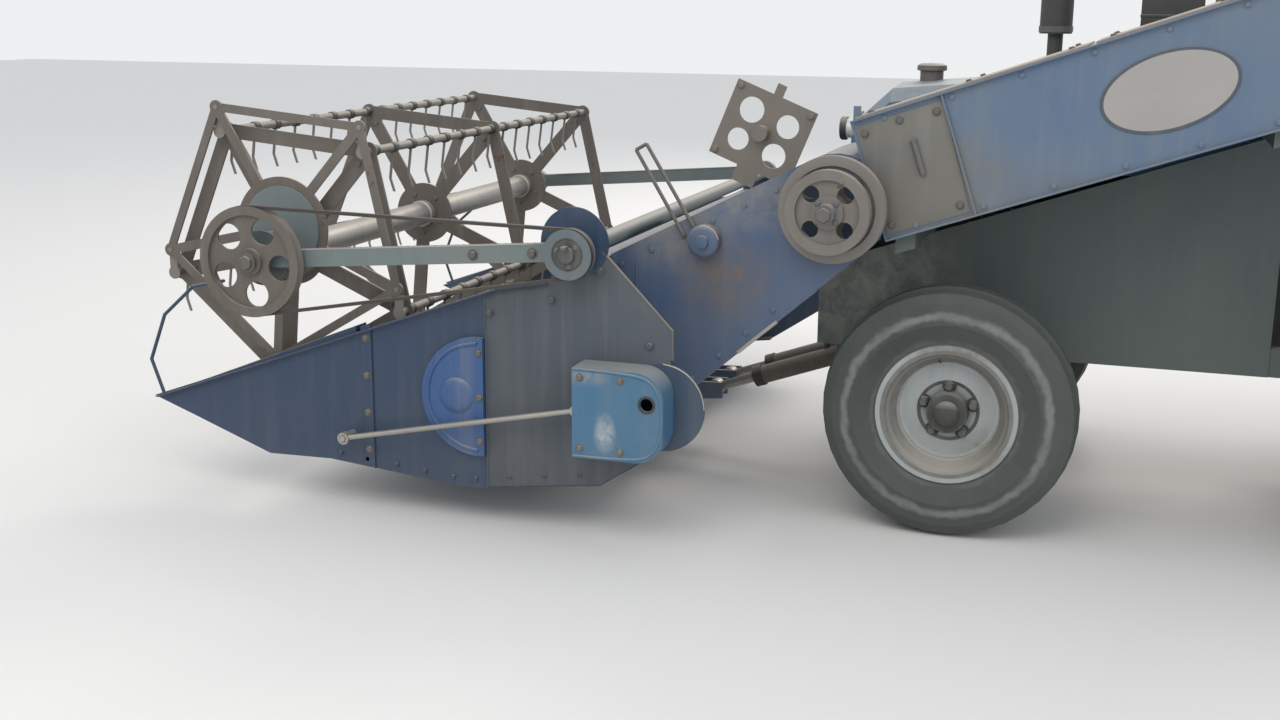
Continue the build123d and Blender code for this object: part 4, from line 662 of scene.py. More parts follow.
def hexNut(across, height, washer, stud):
    # vertices, radius, depth and middle of the nut, its washer and its stud
    rounds = [(6, across / 2 / math.cos(math.pi / 6), height, height / 2)]
    if washer:
        rounds.append((16, across * 0.78, height * 0.22, height * 0.08))
    if stud:
        rounds.append((10, across * 0.3, stud, height + stud / 2 - 0.001))
    parts = []
    for vertices, radius, depth, middle in rounds:
        clearSelection()
        bpy.ops.mesh.primitive_cylinder_add(vertices=vertices, radius=radius, depth=depth,
            location=(0, 0, middle))
        parts.append(bpy.context.object)
        bakePlace(parts[-1])
    softEdges(parts[0], height * 0.12, 1)
    return joinPieces("nutModel", parts)


def ringPlaces(centre, y, radius, count, start, outward):
    places = []
    for k in range(count):
        x, z = onCircle(centre, radius, start + 360 / count * k)
        places.append(facing(at(x, y, z), outward, k * 0.37))
    return places


def rowPlaces(start, end, count, outward):
    start, end = at(*start), at(*end)
    return [facing(start.lerp(end, k / (count - 1)), outward, k * 0.61) for k in range(count)]


def boltSet(name, places, body, look, across=0.017, height=0.009, washer=True, stud=0.0):
    settle(repeated(name, hexNut(across, height, washer, stud), places), body, look, 30.0)


def weldBead(name, points, radius, body, look):
    # a run of weld: a thin pipe whose thickness comes and goes
    steps = []
    for a, b in zip(points, points[1:]):
        count = max(2, int((b - a).length / 0.012))
        steps += [a.lerp(b, k / count) for k in range(count)]
    settle(pipePiece(name, steps + points[-1:], radius, 1, False, True), body, look, 60.0)


outLeft, outRight = Vector((0, 1, 0)), Vector((0, -1, 0))


def bothSides(make, *more):
    make("left", 1, outLeft, *more)
    make("right", -1, outRight, *more)


# Wheels: nuts, hub caps and valves. Bolts: name, look, slot, outward, circle, count, first angle,
# across, height, stud
wheels = {
    "front": {
        "axle": frontAxle, "halfTrack": 0.68, "look": "castIron", "hubEnd": 0.014,
        "bolts": [("WheelNuts", "castIron", "bare_steel", 0.0125, 0.0819, 5, 90, 0.03, 0.017, 0.0)],
        "cap": [(0.0, 0.066), (0.045, 0.064), (0.049, 0.058), (0.05, 0.042), (0.066, 0.04),
            (0.074, 0.034), (0.08, 0.018), (0.082, 0.0)],
        "valve": [(0.03, 0.012, 0.555), (0.032, 0.03, 0.559), (0.034, 0.052, 0.567)],
    },
    "rear": {
        "axle": (-1.88, 0.665), "halfTrack": 0.72, "look": "silverPaint", "hubEnd": 0.0445,
        "bolts": [("WheelNuts", "castIron", "bare_steel", -0.0085, 0.118, 8, 22, 0.03, 0.018, 0.012),
            ("RimBolts", "silverPaint", None, 0.0205, 0.272, 8, 0, 0.026, 0.014, 0.0)],
        "cap": [(0.0, 0.074), (0.008, 0.074), (0.011, 0.06), (0.024, 0.052), (0.034, 0.03),
            (0.037, 0.0)],
    },
}


def wheelPieces(word, side, outward, end, wheel):
    y, body = side * wheel["halfTrack"], f"{end}_wheel_{word}"
    for name, look, slot, out, circle, count, first, across, height, stud in wheel["bolts"]:
        ring = ringPlaces(wheel["axle"], y + side * out, circle, count, first, outward)
        boltSet(f"{end}{name}_{word}", ring, body, look, across, height, True, stud)
    x, z = wheel["axle"]
    settle(spunPiece(f"{end}HubCap_{word}", (x, y + side * wheel["hubEnd"], z), wheel["cap"], 32, "Y",
        side < 0), body, wheel["look"], 40.0)
    if "valve" in wheel:
        stem = [at(x, y + side * out, z) for x, out, z in wheel["valve"]]
        settle(pipePiece(f"{end}Valve_{word}", stem, 0.0042, 2), body, "beltRubber")


for end, wheel in wheels.items():
    bothSides(wheelPieces, end, wheel)
print("wheel pieces done")

# Header: gusset edge, bolts, welds and covers on both side sheets
gusset = {
    "outline": [(1.012, 0.925), (1.1, 0.93), (1.182, 0.816), (1.343, 0.786), (1.396, 0.769),
        (1.396, 0.131), (1.012, 0.18), (0.783, 0.333), (0.783, 0.689)],
    "lip": [(1.006, 0.921), (0.781, 0.69), (0.779, 0.6)],
    "bolts": [(0.85, 0.64), (1.01, 0.86), (1.17, 0.76), (1.38, 0.705)],
}


def gussetPlates(word, side, outward):
    inner, y, face = [side * (header["out"] + out) for out in (-0.0004, 0.0, header["thick"])]
    settle(outlinePiece("gussetPlate_" + word, gusset["outline"], inner, inner + side * header["thick"],
        0.0012), "header", "greyBluePaint", 30.0)
    settle(pipePiece("gussetLip_" + word, inPlane(y, gusset["lip"]), 0.0055, 2, False), "header",
        "wornGrey")
    weldBead("gussetWeld_" + word, inPlane(face, gusset["outline"][4:6]), 0.0032, "header",
        "greyBluePaint")


def headerBolts(word, side, outward):
    y, face, strapY = [side * (header["out"] + out) for out in (0.0, header["thick"], 0.0065)]
    strap = rowPlaces((header["strapX"], strapY, 0.215), (header["strapX"], strapY, 0.59), 4, outward)
    boltSet("strapBolts_" + word, strap, "header", "wornGrey", 0.017, 0.008)
    low = rowPlaces((1.08, y, 0.205), (1.44, y, 0.152), 4, outward)
    low += rowPlaces((1.52, y, 0.15), (1.93, y, 0.19), 5, outward)
    boltSet("troughBolts_" + word, low, "header", "deepBluePaint", 0.015, 0.007)
    places = [facing(at(x, face, z), outward, x) for x, z in gusset["bolts"]]
    boltSet("gussetBolts_" + word, places, "header", "greyBluePaint", 0.019, 0.01)


def augerBearing():
    # flanged bearing on the right end of the auger's shaft
    x, z = axis = (1.4, 0.43)
    settle(spunPiece("augerBearing", (x, -header["out"], z), [(0.0, 0.062), (0.007, 0.062), (0.01, 0.05),
        (0.03, 0.046), (0.034, 0.03), (0.034, 0.0)], flip=True), "header", "castIron", 40.0)
    ring = ringPlaces(axis, -header["out"] - 0.006, 0.054, 4, 45, outRight)
    boltSet("augerBearingBolts", ring, "header", "bareSteel", 0.013, 0.007)


def guardDetails():
    # the half-round guard: a pressed edge, screws along the straight side and a rounded rib
    face = header["guardFace"]
    edge = inPlane(face, arc(header["guard"], header["guardR"] * 0.985, -90, 90, 13))
    settle(pipePiece("guardRoll", edge, 0.006), "header", "guardBlue")
    row = rowPlaces((1.413, face - 0.0005, 0.285), (1.413, face - 0.0005, 0.575), 3, outLeft)
    boltSet("guardBolts", row, "header", "wornGrey", 0.017, 0.008)
    settle(spunPiece("guardDome", (1.492, face - 0.0008, 0.43), [(0.0, 0.06), (0.006, 0.054),
        (0.01, 0.036), (0.0115, 0.0)]), "header", "guardBlue", 60.0)


def coverDetails():
    face = header["coverFace"]
    edge = inPlane(face, [(1.058, 0.304), (0.862, 0.304), (0.8, 0.33), (0.774, 0.392), (0.774, 0.49),
        (0.8, 0.552), (0.862, 0.577), (1.058, 0.577)])
    settle(pipePiece("coverRoll", edge, 0.0045), "header", "skyBluePaint")
    spots = [(x, z) for x in (1.035, 0.905) for z in (0.552, 0.33)]
    places = [facing(at(x, face - 0.0006, z), outLeft, z) for x, z in spots]
    boltSet("coverBolts", places, "header", "wornGrey", 0.016, 0.008)
    settle(spunPiece("coverGrommet", (0.822, face - 0.002, 0.485), [(0.0, 0.027), (0.005, 0.027),
        (0.005, 0.0205), (0.0, 0.0205)], 28), "header", "beltRubber", 30.0)


def knifeDetails():
    # rod ends, and hold-down clips over the knife
    clearSelection()
    bpy.ops.mesh.primitive_cube_add(size=1)
    clip = named("clipModel")
    clip.scale = (0.044, 0.03, 0.006)
    bakePlace(clip)
    editStart(clip)
    pickFaces(clip, lambda normal: normal.x > 0.9)
    bpy.ops.transform.translate(value=(0, 0, -0.004))
    editEnd()
    softEdges(clip, 0.001, 1)
    places = [Matrix.Translation(at(1.984, -0.96 + 0.24 * k, 0.2095)) for k in range(9)]
    settle(repeated("knifeClips", clip, places), "header", "brownSteel", 30.0)
    for name, x, z in (("rodEndRear", 1.066, 0.431), ("rodEndFront", 1.88, 0.262)):
        settle(spunPiece(name, (x, 1.1986, z), [(0.0, 0.02), (0.022, 0.02), (0.022, 0.009),
            (0.026, 0.009), (0.026, 0.0)], 24), "header", "bareSteel")


bothSides(gussetPlates)
bothSides(headerBolts)
augerBearing()
guardDetails()
coverDetails()
knifeDetails()
print("header pieces done")

# Reel: clamps on the tines, bolts on the spiders, the bright tube and the arm ends
reel = {
    "axis": (2.176, 0.834), "r": 0.455, "bats": 5, "phase": 59.4, "half": 0.987, "tube": 0.0458,
    "collar": 0.0515, "bore": 0.0452, "tines": 15, "armY": 1.178, "armT": 0.03,
    "weld": ((1.178, 0.940492), (2.076, 0.868508)),
}
reelX, reelZ = reel["axis"]


def reelTube():
    for k, (y0, y1) in enumerate(((-0.985, -0.008), (0.008, 0.985))):
        length = y1 - y0
        profile = [(0.0, reel["bore"]), (0.0, reel["collar"]), (0.03, reel["collar"]),
            (0.034, reel["tube"])]
        profile += [(length - distance, radius) for distance, radius in reversed(profile)]
        settle(spunPiece(f"reelTube_{k + 1}", (reelX, y0, reelZ), profile, 40), "reel", "zincTube")


def reelBolts():
    places = []
    for y in (-reel["half"], 0.0, reel["half"]):
        for angle in [reel["phase"] + 72 * k for k in range(reel["bats"])]:
            for radius in (0.078, 0.4):
                x, z = onCircle(reel["axis"], radius, angle)
                for out, outward in ((0.004, outLeft), (-0.004, outRight)):
                    places.append(facing(at(x, y + out, z), outward, math.radians(angle)))
    boltSet("spiderBolts", places, "reel", "brownSteel", 0.015, 0.007)
    boltSet("reelShaftNut", [facing(at(reelX, 1.2695, reelZ), outLeft)], "reel", "wornGrey", 0.042, 0.014)


def tineClamps():
    pitch = 2 * (reel["half"] - 0.06) / (reel["tines"] - 1)
    across = [(i - (reel["tines"] - 1) / 2) * pitch + 0.025 for i in range(reel["tines"])]
    upright = Matrix.Rotation(math.radians(-90), 4, "X")
    for k in range(reel["bats"]):
        x, z = onCircle(reel["axis"], reel["r"], reel["phase"] + 72 * k)
        clearSelection()
        bpy.ops.mesh.primitive_cylinder_add(vertices=14, radius=0.0185, depth=0.026)
        collar = named("collarModel")
        bakePlace(collar)
        editStart(collar)
        pickFaces(collar, lambda normal: abs(normal.z) > 0.9)
        bpy.ops.mesh.inset(thickness=0.003, depth=0.002)
        editEnd()
        places = [Matrix.Translation(at(x, y, z)) @ upright for y in across]
        body = f"tine_bar_{k + 1}"
        settle(repeated(f"tineClamps_{k + 1}", collar, places), body, "castIron", 30.0)
        pins = [facing(at(x + 0.017, y, z + 0.002), (1, 0, 0.1)) for y in across]
        boltSet(f"tineBolts_{k + 1}", pins, body, "bareSteel", 0.01, 0.005, False)


def armDetails(word, side, outward):
    outer = side * (reel["armY"] + reel["armT"])
    if side < 0:
        settle(spunPiece("reelBearing", (reelX, outer, reelZ), [(0.0, 0.04), (0.01, 0.04), (0.014, 0.034),
            (0.014, 0.0265)], flip=True), "reel_frame", "castIron", 40.0)
    foot, head = inPlane(outer, (driveAxis, reel["axis"]))
    places = [facing(foot.lerp(head, share), outward, share) for share in (0.12, 0.3, 0.86)]
    boltSet("armBolts_" + word, places, "reel_frame", "wornGrey", 0.022, 0.011)
    run = inPlane(side * (reel["armY"] - 0.0002), reel["weld"])
    weldBead("armWeld_" + word, run, 0.0028, "reel_frame", "tealPaint")


reelTube()
reelBolts()
tineClamps()
bothSides(armDetails)
print("reel pieces done")

# Feeder: rows of bolts, the blank badge, the cover plate, planks and pulley screws
feeder = {"angle": 19.0, "above": 0.239, "below": 0.144, "outer": 0.79, "inner": 0.33}


def onFeeder(s, n, y):
    # a point by its way along the feeder and above its middle line
    turn = math.radians(feeder["angle"])
    x, z = feederAxis
    return at(x - s * math.cos(turn) + n * math.sin(turn), y, z + s * math.sin(turn) + n * math.cos(turn))


def feederSheet(name, corners, start, end, bevel, look):
    spots = [onFeeder(s, n, 0) - datum for s, n in corners]
    settle(outlinePiece(name, [(spot.x, spot.z) for spot in spots], start, end, bevel), "carrier", look,
        30.0)


badge = {"s": 1.017, "n": 0.05, "long": 0.185, "high": 0.105, "thick": 0.0035, "rim": 0.009}


def blankBadge():
    flat = Matrix.Rotation(math.radians(feeder["angle"]), 4, "Y") @ Matrix.Rotation(math.radians(90), 4,
        "X")
    for name, grow, start, end, look in (
            ("badgeRim", badge["rim"], -0.001, badge["thick"], "greyBluePaint"),
            ("badgeFace", 0.0, 0.0, badge["thick"] + 0.0012, "badgePlate")):
        clearSelection()
        bpy.ops.mesh.primitive_cylinder_add(vertices=64, radius=1, depth=end - start)
        piece = named(name)
        piece.scale = (badge["long"] + grow, badge["high"] + grow, 1)
        bakePlace(piece)
        middle = onFeeder(badge["s"], badge["n"], feeder["outer"] + (start + end) / 2)
        piece.matrix_world = Matrix.Translation(middle) @ flat
        bakePlace(piece)
        softEdges(piece, 0.0008, 1)
        settle(piece, "carrier", look, 30.0)


def feederBolts():
    rows = [(0.22 + 0.21 * k, n) for n in (feeder["above"] - 0.022,
        0.022 - feeder["below"]) for k in range(12)]
    for word, y, outward in (("left", feeder["outer"], outLeft), ("right", feeder["inner"], outRight)):
        places = [facing(onFeeder(s, n, y), outward, k * 0.7) for k, (s, n) in enumerate(rows)]
        boltSet("feederBolts_" + word, places, "carrier", "bluePaint", 0.014, 0.006)


def feederCover():
    # the dirty plate over the upper feeder's front end, with its slotted screws
    face = feeder["outer"]
    feederSheet("feederCover", [(0.126, -0.128), (0.388, -0.128), (0.402, 0.218), (0.126, 0.218)],
        face - 0.0004, face + 0.0032, 0.001, "dustPlate")
    spots = [(0.15, -0.1), (0.365, -0.1), (0.375, 0.19), (0.15, 0.19), (0.262, 0.198)]
    places = [facing(onFeeder(s, n, face + 0.003), outLeft, s * 9) for s, n in spots]
    boltSet("feederCoverBolts", places, "carrier", "wornGrey", 0.017, 0.009)
    slide = [onFeeder(0.285, n, face + 0.01) for n in (0.02, 0.13)]
    settle(pipePiece("feederSlider", slide, 0.01, 3, False), "carrier", "wornGrey", 40.0)


def topPlanks():
    # folded lids over the slats of the upper feeder
    low, high = feeder["above"] - 0.0006, feeder["above"] + 0.007
    upward = onFeeder(0, 1, 0) - onFeeder(0, 0, 0)
    for k, (s0, s1) in enumerate(((0.13, 0.84), (0.86, 1.57), (1.59, 2.3))):
        feederSheet(f"feederLid_{k + 1}", [(s0, low), (s0, high), (s1, high), (s1, low)],
            feeder["inner"] + 0.012, feeder["outer"] - 0.012, 0.0025, "wornLid")
        ends = [facing(onFeeder(s, high, y), upward, s) for s in (s0 + 0.05, (s0 + s1) / 2,
            s1 - 0.05) for y in (feeder["inner"] + 0.035, feeder["outer"] - 0.035)]
        boltSet(f"lidBolts_{k + 1}", ends, "carrier", "wornGrey", 0.015, 0.007)


def pulleyDetails():
    places = ringPlaces(feederAxis, 0.9395, 0.04, 4, 45, outLeft)
    boltSet("feederPulleyBolts", places, "feeder_pulley", "wornGrey", 0.013, 0.007)
    shaft = [facing(place, outLeft) for place in inPlane(0.9845, [feederAxis])]
    boltSet("feederShaftNut", shaft, "carrier", "wornGrey", 0.04, 0.013)
    settle(blockPiece("driveKey", (1.07, 1.294, 0.941), (1.086, 1.266, 0.951), 0.0015, 1), "reel_drive",
        "wornGrey")
    ring = ringPlaces(driveAxis, 1.2575, 0.036, 3, 20, outLeft)
    boltSet("drivePulleyBolts", ring, "reel_drive", "wornGrey", 0.012, 0.006)


bearingPlate = {"x": 0.715, "y": 0.3485, "z": 1.225, "half": (0.132, 0.118), "angle": 22.0}


def lowerFeederDetails():
    y = 0.78
    rows = rowPlaces((1.07, y, 0.818), (0.56, y, 1.085), 6, outLeft)
    rows += rowPlaces((1.0, y, 0.29), (0.56, y, 0.7), 6, outLeft)
    boltSet("lowerFeederBolts", rows, "header", "lowerBlue", 0.014, 0.006)
    seam = inPlane(y + 0.0003, [(1.02, 0.3), (1.02, 0.84)])
    weldBead("lowerFeederWeld", seam, 0.003, "header", "lowerBlue")
    settle(spunPiece("leverBoss", (0.785, y + 0.04, 0.915), [(0.0, 0.052), (0.006, 0.049), (0.01, 0.04),
        (0.01, 0.022), (0.022, 0.02), (0.024, 0.0)]), "header", "lowerBlue", 40.0)
    edge = inPlane(y, [(1.04, 0.233), (0.42, 0.775)])
    settle(pipePiece("feederEdge", edge, 0.004, 2, False), "header", "lowerBlue")
    rubbed = inPlane(y + 0.001, [(0.672, 0.554), (0.61, 0.609), (0.545, 0.665)])
    settle(pipePiece("feederRubbedEdge", rubbed, 0.0065), "header", "zincTube")
    cos, sin = [turn(math.radians(bearingPlate["angle"])) for turn in (math.cos, math.sin)]
    long, high = bearingPlate["half"]
    places = []
    for dx, dz in ((-long, high), (long, high), (-long, -high), (long, -high)):
        x, z = bearingPlate["x"] + dx * cos - dz * sin, bearingPlate["z"] + dz * cos + dx * sin
        places.append(facing(at(x, bearingPlate["y"], z), outLeft, dx))
    boltSet("bearingPlateBolts", places, "header", "dustySteel", 0.018, 0.009)


# Sheets that join the trough's mouth to the feeder's front edge: side places, front and rear edges
mouth = {
    "sides": ((0.3405, 0.344), (0.776, 0.7795)),
    "wall": ((1.155, 0.3), (1.1345, 0.35), (1.125, 0.4), (1.128, 0.5), (1.138, 0.6),
        (1.1475, 0.7), (1.152, 0.76)),
    "feeder": ((1.103, 0.76), (1.062, 0.3)),
    "sill": ((1.058, 0.279), (1.058, 0.2825), (1.156, 0.303), (1.156, 0.2995)),
}


def mouthSheets():
    left, right = mouth["sides"]
    cheek = mouth["wall"] + mouth["feeder"]
    for name, outline, (y0, y1) in (("mouthCheek_1", cheek, left), ("mouthCheek_2", cheek, right),
            ("mouthSill", mouth["sill"], (left[0], right[1]))):
        settle(outlinePiece(name, outline, y0, y1, 0.0008), "header", "lowerBlue", 30.0)


# Round edges that the sun catches: centre, radius, side place, first and last angle
brightRims = (
    ("crankDiscRim", (0.812, 0.45), 0.137, 1.1545, 92, 178),
    ("leverBossRim", (0.785, 0.915), 0.051, 0.8215, 80, 170),
)


def rimArcs():
    for name, centre, radius, y, first, last in brightRims:
        points = inPlane(y, arc(centre, radius, first, last, 9))
        settle(pipePiece(name, points, 0.0024, 2), "header", "zincTube")


rimArcs()
blankBadge()
feederBolts()
feederCover()
topPlanks()
pulleyDetails()
lowerFeederDetails()
mouthSheets()
print("feeder pieces done")

# Tractor: lamps, stacks, caps, controls, seat and pipes


def lampDetails(word, side, outward):
    place = (0.4735, side * 0.15, 1.234)
    settle(spunPiece("lampBezel_" + word, place, [(-0.012, 0.0345), (-0.012, 0.04), (0.004, 0.041),
        (0.01, 0.037), (0.01, 0.0335), (0.001, 0.0335)], 40, "X"), "carrier", "darkFrame", 40.0)
    settle(spunPiece("lampLens_" + word, place, [(0.001, 0.0335), (0.006, 0.032), (0.011, 0.022),
        (0.0135, 0.0)], 40, "X"), "carrier", "lampGlass", 60.0)


def stackDetails():
    # the outlet's rain flap, clamps, and ribs on the square air stack
    settle(spunPiece("exhaustFlap", (-0.2, -0.13, 1.912), [(-0.002, 0.033), (0.003, 0.034),
        (0.009, 0.026), (0.012, 0.0)], 32, "Z"), "carrier", "darkFrame", 40.0)
    settle(blockPiece("exhaustHinge", (-0.238, -0.142, 1.893), (-0.226, -0.118, 1.918), 0.002, 1),
        "carrier", "darkFrame")
    for k, z in enumerate((1.575, 1.785)):
        settle(spunPiece(f"silencerBand_{k + 1}", (-0.2, -0.13, z), [(-0.01, 0.0545), (-0.01, 0.058),
            (0.01, 0.058), (0.01, 0.0545)], 40, "Z"), "carrier", "wornGrey", 30.0)
    ribs = [blockPiece("stackRib", (-0.672, 0.0385, z), (-0.478, 0.2015, z + 0.012), 0.003,
        1) for z in [1.56 + 0.058 * k for k in range(5)]]
    settle(joinPieces("stackRibs", ribs), "carrier", "darkFrame", 30.0)
    settle(blockPiece("stackLid", (-0.678, 0.032, 1.853), (-0.472, 0.208, 1.868), 0.005), "carrier",
        "darkFrame", 40.0)


def tractorCaps():
    settle(spunPiece("radiatorCap", (0.2, 0.0, 1.419), [(-0.03, 0.04), (0.01, 0.04), (0.014, 0.052),
        (0.03, 0.05), (0.036, 0.038), (0.038, 0.0)], 32, "Z"), "carrier", "wornGrey", 40.0)
    settle(spunPiece("fuelCap", (-0.82, -0.45, 0.868), [(0.0, 0.036), (0.016, 0.038), (0.024, 0.034),
        (0.026, 0.0)], 28, "Z"), "carrier", "wornGrey", 40.0)
    for k, x in enumerate((-0.83, -0.56)):
        settle(blockPiece(f"tankStrap_{k + 1}", (x - 0.016, -0.5275, 0.604), (x + 0.016, -0.5245, 0.836),
            0.001, 1), "carrier", "wornGrey")


def rockerCover():
    # the engine's top under the bonnet, seen through the louvres
    cover = blockPiece("rockerCover", (-0.76, -0.165, 1.0085), (0.1, 0.165, 1.33), 0.024, 3)
    editStart(cover)
    pickFaces(cover, lambda normal: normal.z > 0.95)
    bpy.ops.mesh.inset(thickness=0.02, depth=0.008)
    editEnd()
    settle(cover, "carrier", "castIron", 40.0)


# Two stuffed cushions over the seat's plain blocks: low and high corner, crowned axis
cushions = {
    "seatCushion": ((-2.035, -0.228, 1.092), (-1.69, 0.228, 1.178), 2),
    "seatBack": ((-2.112, -0.228, 1.11), (-2.022, 0.228, 1.492), 0),
}


def seatCushions():
    for name, (low, high, crown) in cushions.items():
        clearSelection()
        size = Vector(high) - Vector(low)
        bpy.ops.mesh.primitive_cube_add(size=1)
        piece = named(name)
        piece.scale = size
        bakePlace(piece)
        editStart(piece, "FACE", "SELECT")
        bpy.ops.mesh.subdivide(number_cuts=7)
        editEnd()
        for vertex in piece.data.vertices:
            share = [2 * vertex.co[axis] / size[axis] for axis in range(3)]
            long, wide = [axis for axis in range(3) if axis != crown]
            dome = (1 - share[long] ** 4) * (1 - share[wide] ** 4)
            vertex.co[crown] *= 0.74 + 0.26 * dome
            groove = math.exp(-((share[1] * 3.0) % 2 - 1) ** 2 / 0.012)
            if share[crown] > 0.9:
                vertex.co[crown] -= 0.006 * groove * dome
        softEdges(piece, 0.012, 3)
        useModifier(piece, "SUBSURF", levels=1)
        piece.location = at(*[(a + b) / 2 for a, b in zip(low, high)])
        settle(piece, "carrier", "seatVinyl", 60.0)
        if name == "seatCushion":
            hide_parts("seat")
    settle(outlinePiece("seatPan", [(-2.118, 1.088), (-1.7, 1.088), (-1.69, 1.11), (-1.698, 1.11),
        (-1.706, 1.096), (-2.106, 1.096), (-2.118, 1.47), (-2.124, 1.47)],
        -0.215, 0.215, 0.001), "carrier", "darkFrame", 30.0)
    settle(blockPiece("seatPillar", (-1.958, -0.058, 0.881), (-1.842, 0.058, 1.09), 0.006), "carrier",
        "darkFrame")


# Gear, range and header levers, throttle: foot X, side place, foot Z, tip X and Z
levers = (
    (-1.5, 0.03, 0.878, -1.47, 1.18), (-1.56, -0.04, 0.878, -1.54, 1.13),
    (-1.64, 0.25, 0.881, -1.6, 1.2), (-1.7, 0.25, 0.881, -1.66, 1.21),
)


def leverSet():
    for k, (x, y, root, tipX, tipZ) in enumerate(levers):
        points = inPlane(y, [(x, root), (x + 0.01, (root + tipZ) / 2), (tipX, tipZ)])
        settle(pipePiece(f"leverStick_{k + 1}", points, 0.0075), "carrier", "wornGrey", 50.0)
        clearSelection()
        bpy.ops.mesh.primitive_uv_sphere_add(segments=20, ring_count=12, radius=0.022, location=points[-1])
        settle(named(f"leverKnob_{k + 1}"), "carrier", "seatVinyl", 60.0)
    for k, y in enumerate((0.19, -0.15, -0.24)):
        settle(blockPiece(f"pedalPad_{k + 1}", (-1.165, y - 0.035, 1.01), (-1.125, y + 0.035, 1.022),
            0.003, 1), "carrier", "beltRubber")
        arm = inPlane(y, [(-1.0, 0.9), (-1.06, 0.96), (-1.14, 1.011)])
        settle(pipePiece(f"pedalArm_{k + 1}", arm, 0.008), "carrier", "darkFrame", 50.0)


def dashDetails():
    # three round gauges on the dash board, and the cap on the steering wheel
    for k, (y, radius) in enumerate(((-0.11, 0.032), (0.0, 0.042), (0.11, 0.032))):
        place = (-0.955, y, 1.36)
        settle(spunPiece(f"gaugeRing_{k + 1}", place, [(-0.001, radius), (0.008, radius + 0.004),
            (0.012, radius + 0.002), (0.012, radius - 0.003), (0.006, radius - 0.004)],
            36, "X", True), "carrier", "bareSteel", 40.0)
        settle(spunPiece(f"gaugeGlass_{k + 1}", place, [(0.006, radius - 0.002), (0.0065, 0.0)], 36, "X",
            True), "carrier", "seatVinyl", 40.0)
    settle(spunPiece("steeringCap", None, [(0.0, 0.036), (0.008, 0.033), (0.014, 0.02), (0.016, 0.0)], 32,
        "Z", aim=facing(at(-1.268, 0, 1.441), (-0.22, 0, 0.512))), "carrier", "seatVinyl", 50.0)


def liftPipes(word, side, outward):
    slope = Vector((0.53, 0, -0.19)).normalized()
    foot = at(0.4, side * 0.1, 0.44)
    settle(spunPiece("barrelGland_" + word, None, [(-0.03, 0.034), (-0.03, 0.039), (0.004, 0.039),
        (0.008, 0.03), (0.008, 0.0185)], 32, "Z", aim=facing(foot + slope * 0.399, slope)),
        "lift_barrels", "castIron")
    port = foot + slope * 0.11 + Vector((0.012, 0, 0.032))
    ends = [port - Vector((0, 0, 0.01)), port + Vector((0, 0, 0.02))]
    settle(pipePiece("liftPort_" + word, ends, 0.01, 3, False), "lift_barrels", "wornGrey")


bothSides(lampDetails)
stackDetails()
tractorCaps()
rockerCover()
seatCushions()
leverSet()
dashDetails()
bothSides(liftPipes)
print("tractor pieces done")

# Thresher: bolt rows, doors, latches and rubber flaps
thresher = {"front": -2.6, "rear": -3.78, "half": 0.95}
doors = {"left": (-3.69, -3.3, 1.26, 1.88), "right": (-2.758, -2.668, 1.06, 1.84)}


def thresherDoors(word, side, outward):
    y, face = side * thresher["half"], side * (thresher["half"] - 0.0004)
    x0, x1, z0, z1 = doors[word]
    door = blockPiece("thresherDoor_" + word, (x0, face, z0), (x1, y + side * 0.008, z1), 0.004)
    editStart(door)
    pickFaces(door, lambda normal: normal.y * side > 0.95)
    bpy.ops.mesh.inset(thickness=0.018)
    bpy.ops.mesh.inset(thickness=0.006, depth=-0.003)
    editEnd()
    settle(door, "carrier", "bluePaint", 30.0)
    knobs = [facing(at(x0 + 0.03, y + side * 0.006, z), outward) for z in (z0 + 0.06, z1 - 0.06)]
    boltSet("doorLatches_" + word, knobs, "carrier", "wornGrey", 0.028, 0.016)


def thresherBolts(word, side, outward):
    y = side * thresher["half"]
    places = []
    for z, rear, front, count in ((0.8, 0.06, 0.1, 11), (1.915, 0.06, 0.1, 11), (1.998, 0.07, 0.06, 9)):
        places += rowPlaces((thresher["rear"] + rear, y, z), (thresher["front"] - front, y, z), count,
            outward)
    boltSet("thresherBolts_" + word, places, "carrier", "bluePaint", 0.015, 0.007)


def drumRings(word, side, outward):
    # a bolted ring on each end of the drum housing
    face = side * (thresher["half"] - 0.0004)
    settle(pipePiece("drumRing_" + word, inPlane(face, arc(drumAxis, 0.318, 0, 180, 17)), 0.008),
        "carrier", "bluePaint")
    spots = inPlane(face, arc(drumAxis, 0.292, 10, 170, 9))
    bolts = [facing(spot, outward, k) for k, spot in enumerate(spots)]
    boltSet("drumBolts_" + word, bolts, "carrier", "bluePaint", 0.015, 0.007)


cowl = {
    "radius": 0.337, "inner": 0.329, "outer": 0.791, "angles": (84, 72, 60, 48, 36, 24, 12, 7),
    "top": [(-2.5356, 2.294), (-2.5356, 2.2985), (-2.64, 2.33), (-2.76, 2.344), (-2.9, 2.3505),
        (-3.03, 2.352)],
    "mouth": [(-2.667, 2.051), (-2.5785, 2.3085)],
}


def feederCowl():
    # a folded sheet closes the drum housing's mouth behind the feeder's upper end
    housing = [onCircle(drumAxis, cowl["radius"], angle) for angle in cowl["angles"]]
    settle(outlinePiece("feederCowl", cowl["top"] + housing + cowl["mouth"], cowl["inner"], cowl["outer"],
        0.0015), "carrier", "bluePaint", 25.0)
    places = rowPlaces((-3.0, cowl["inner"] + 0.03, 2.3515), (-3.0, cowl["outer"] - 0.03, 2.3515), 5,
        (0, 0, 1))
    boltSet("cowlBolts", places, "carrier", "bluePaint", 0.015, 0.006)


def rearBolts():
    row = rowPlaces((thresher["rear"], -0.88, 1.6), (thresher["rear"], 0.88, 1.6), 13, (-1, 0, 0))
    boltSet("thresherRearBolts", row, "carrier", "bluePaint", 0.015, 0.007)


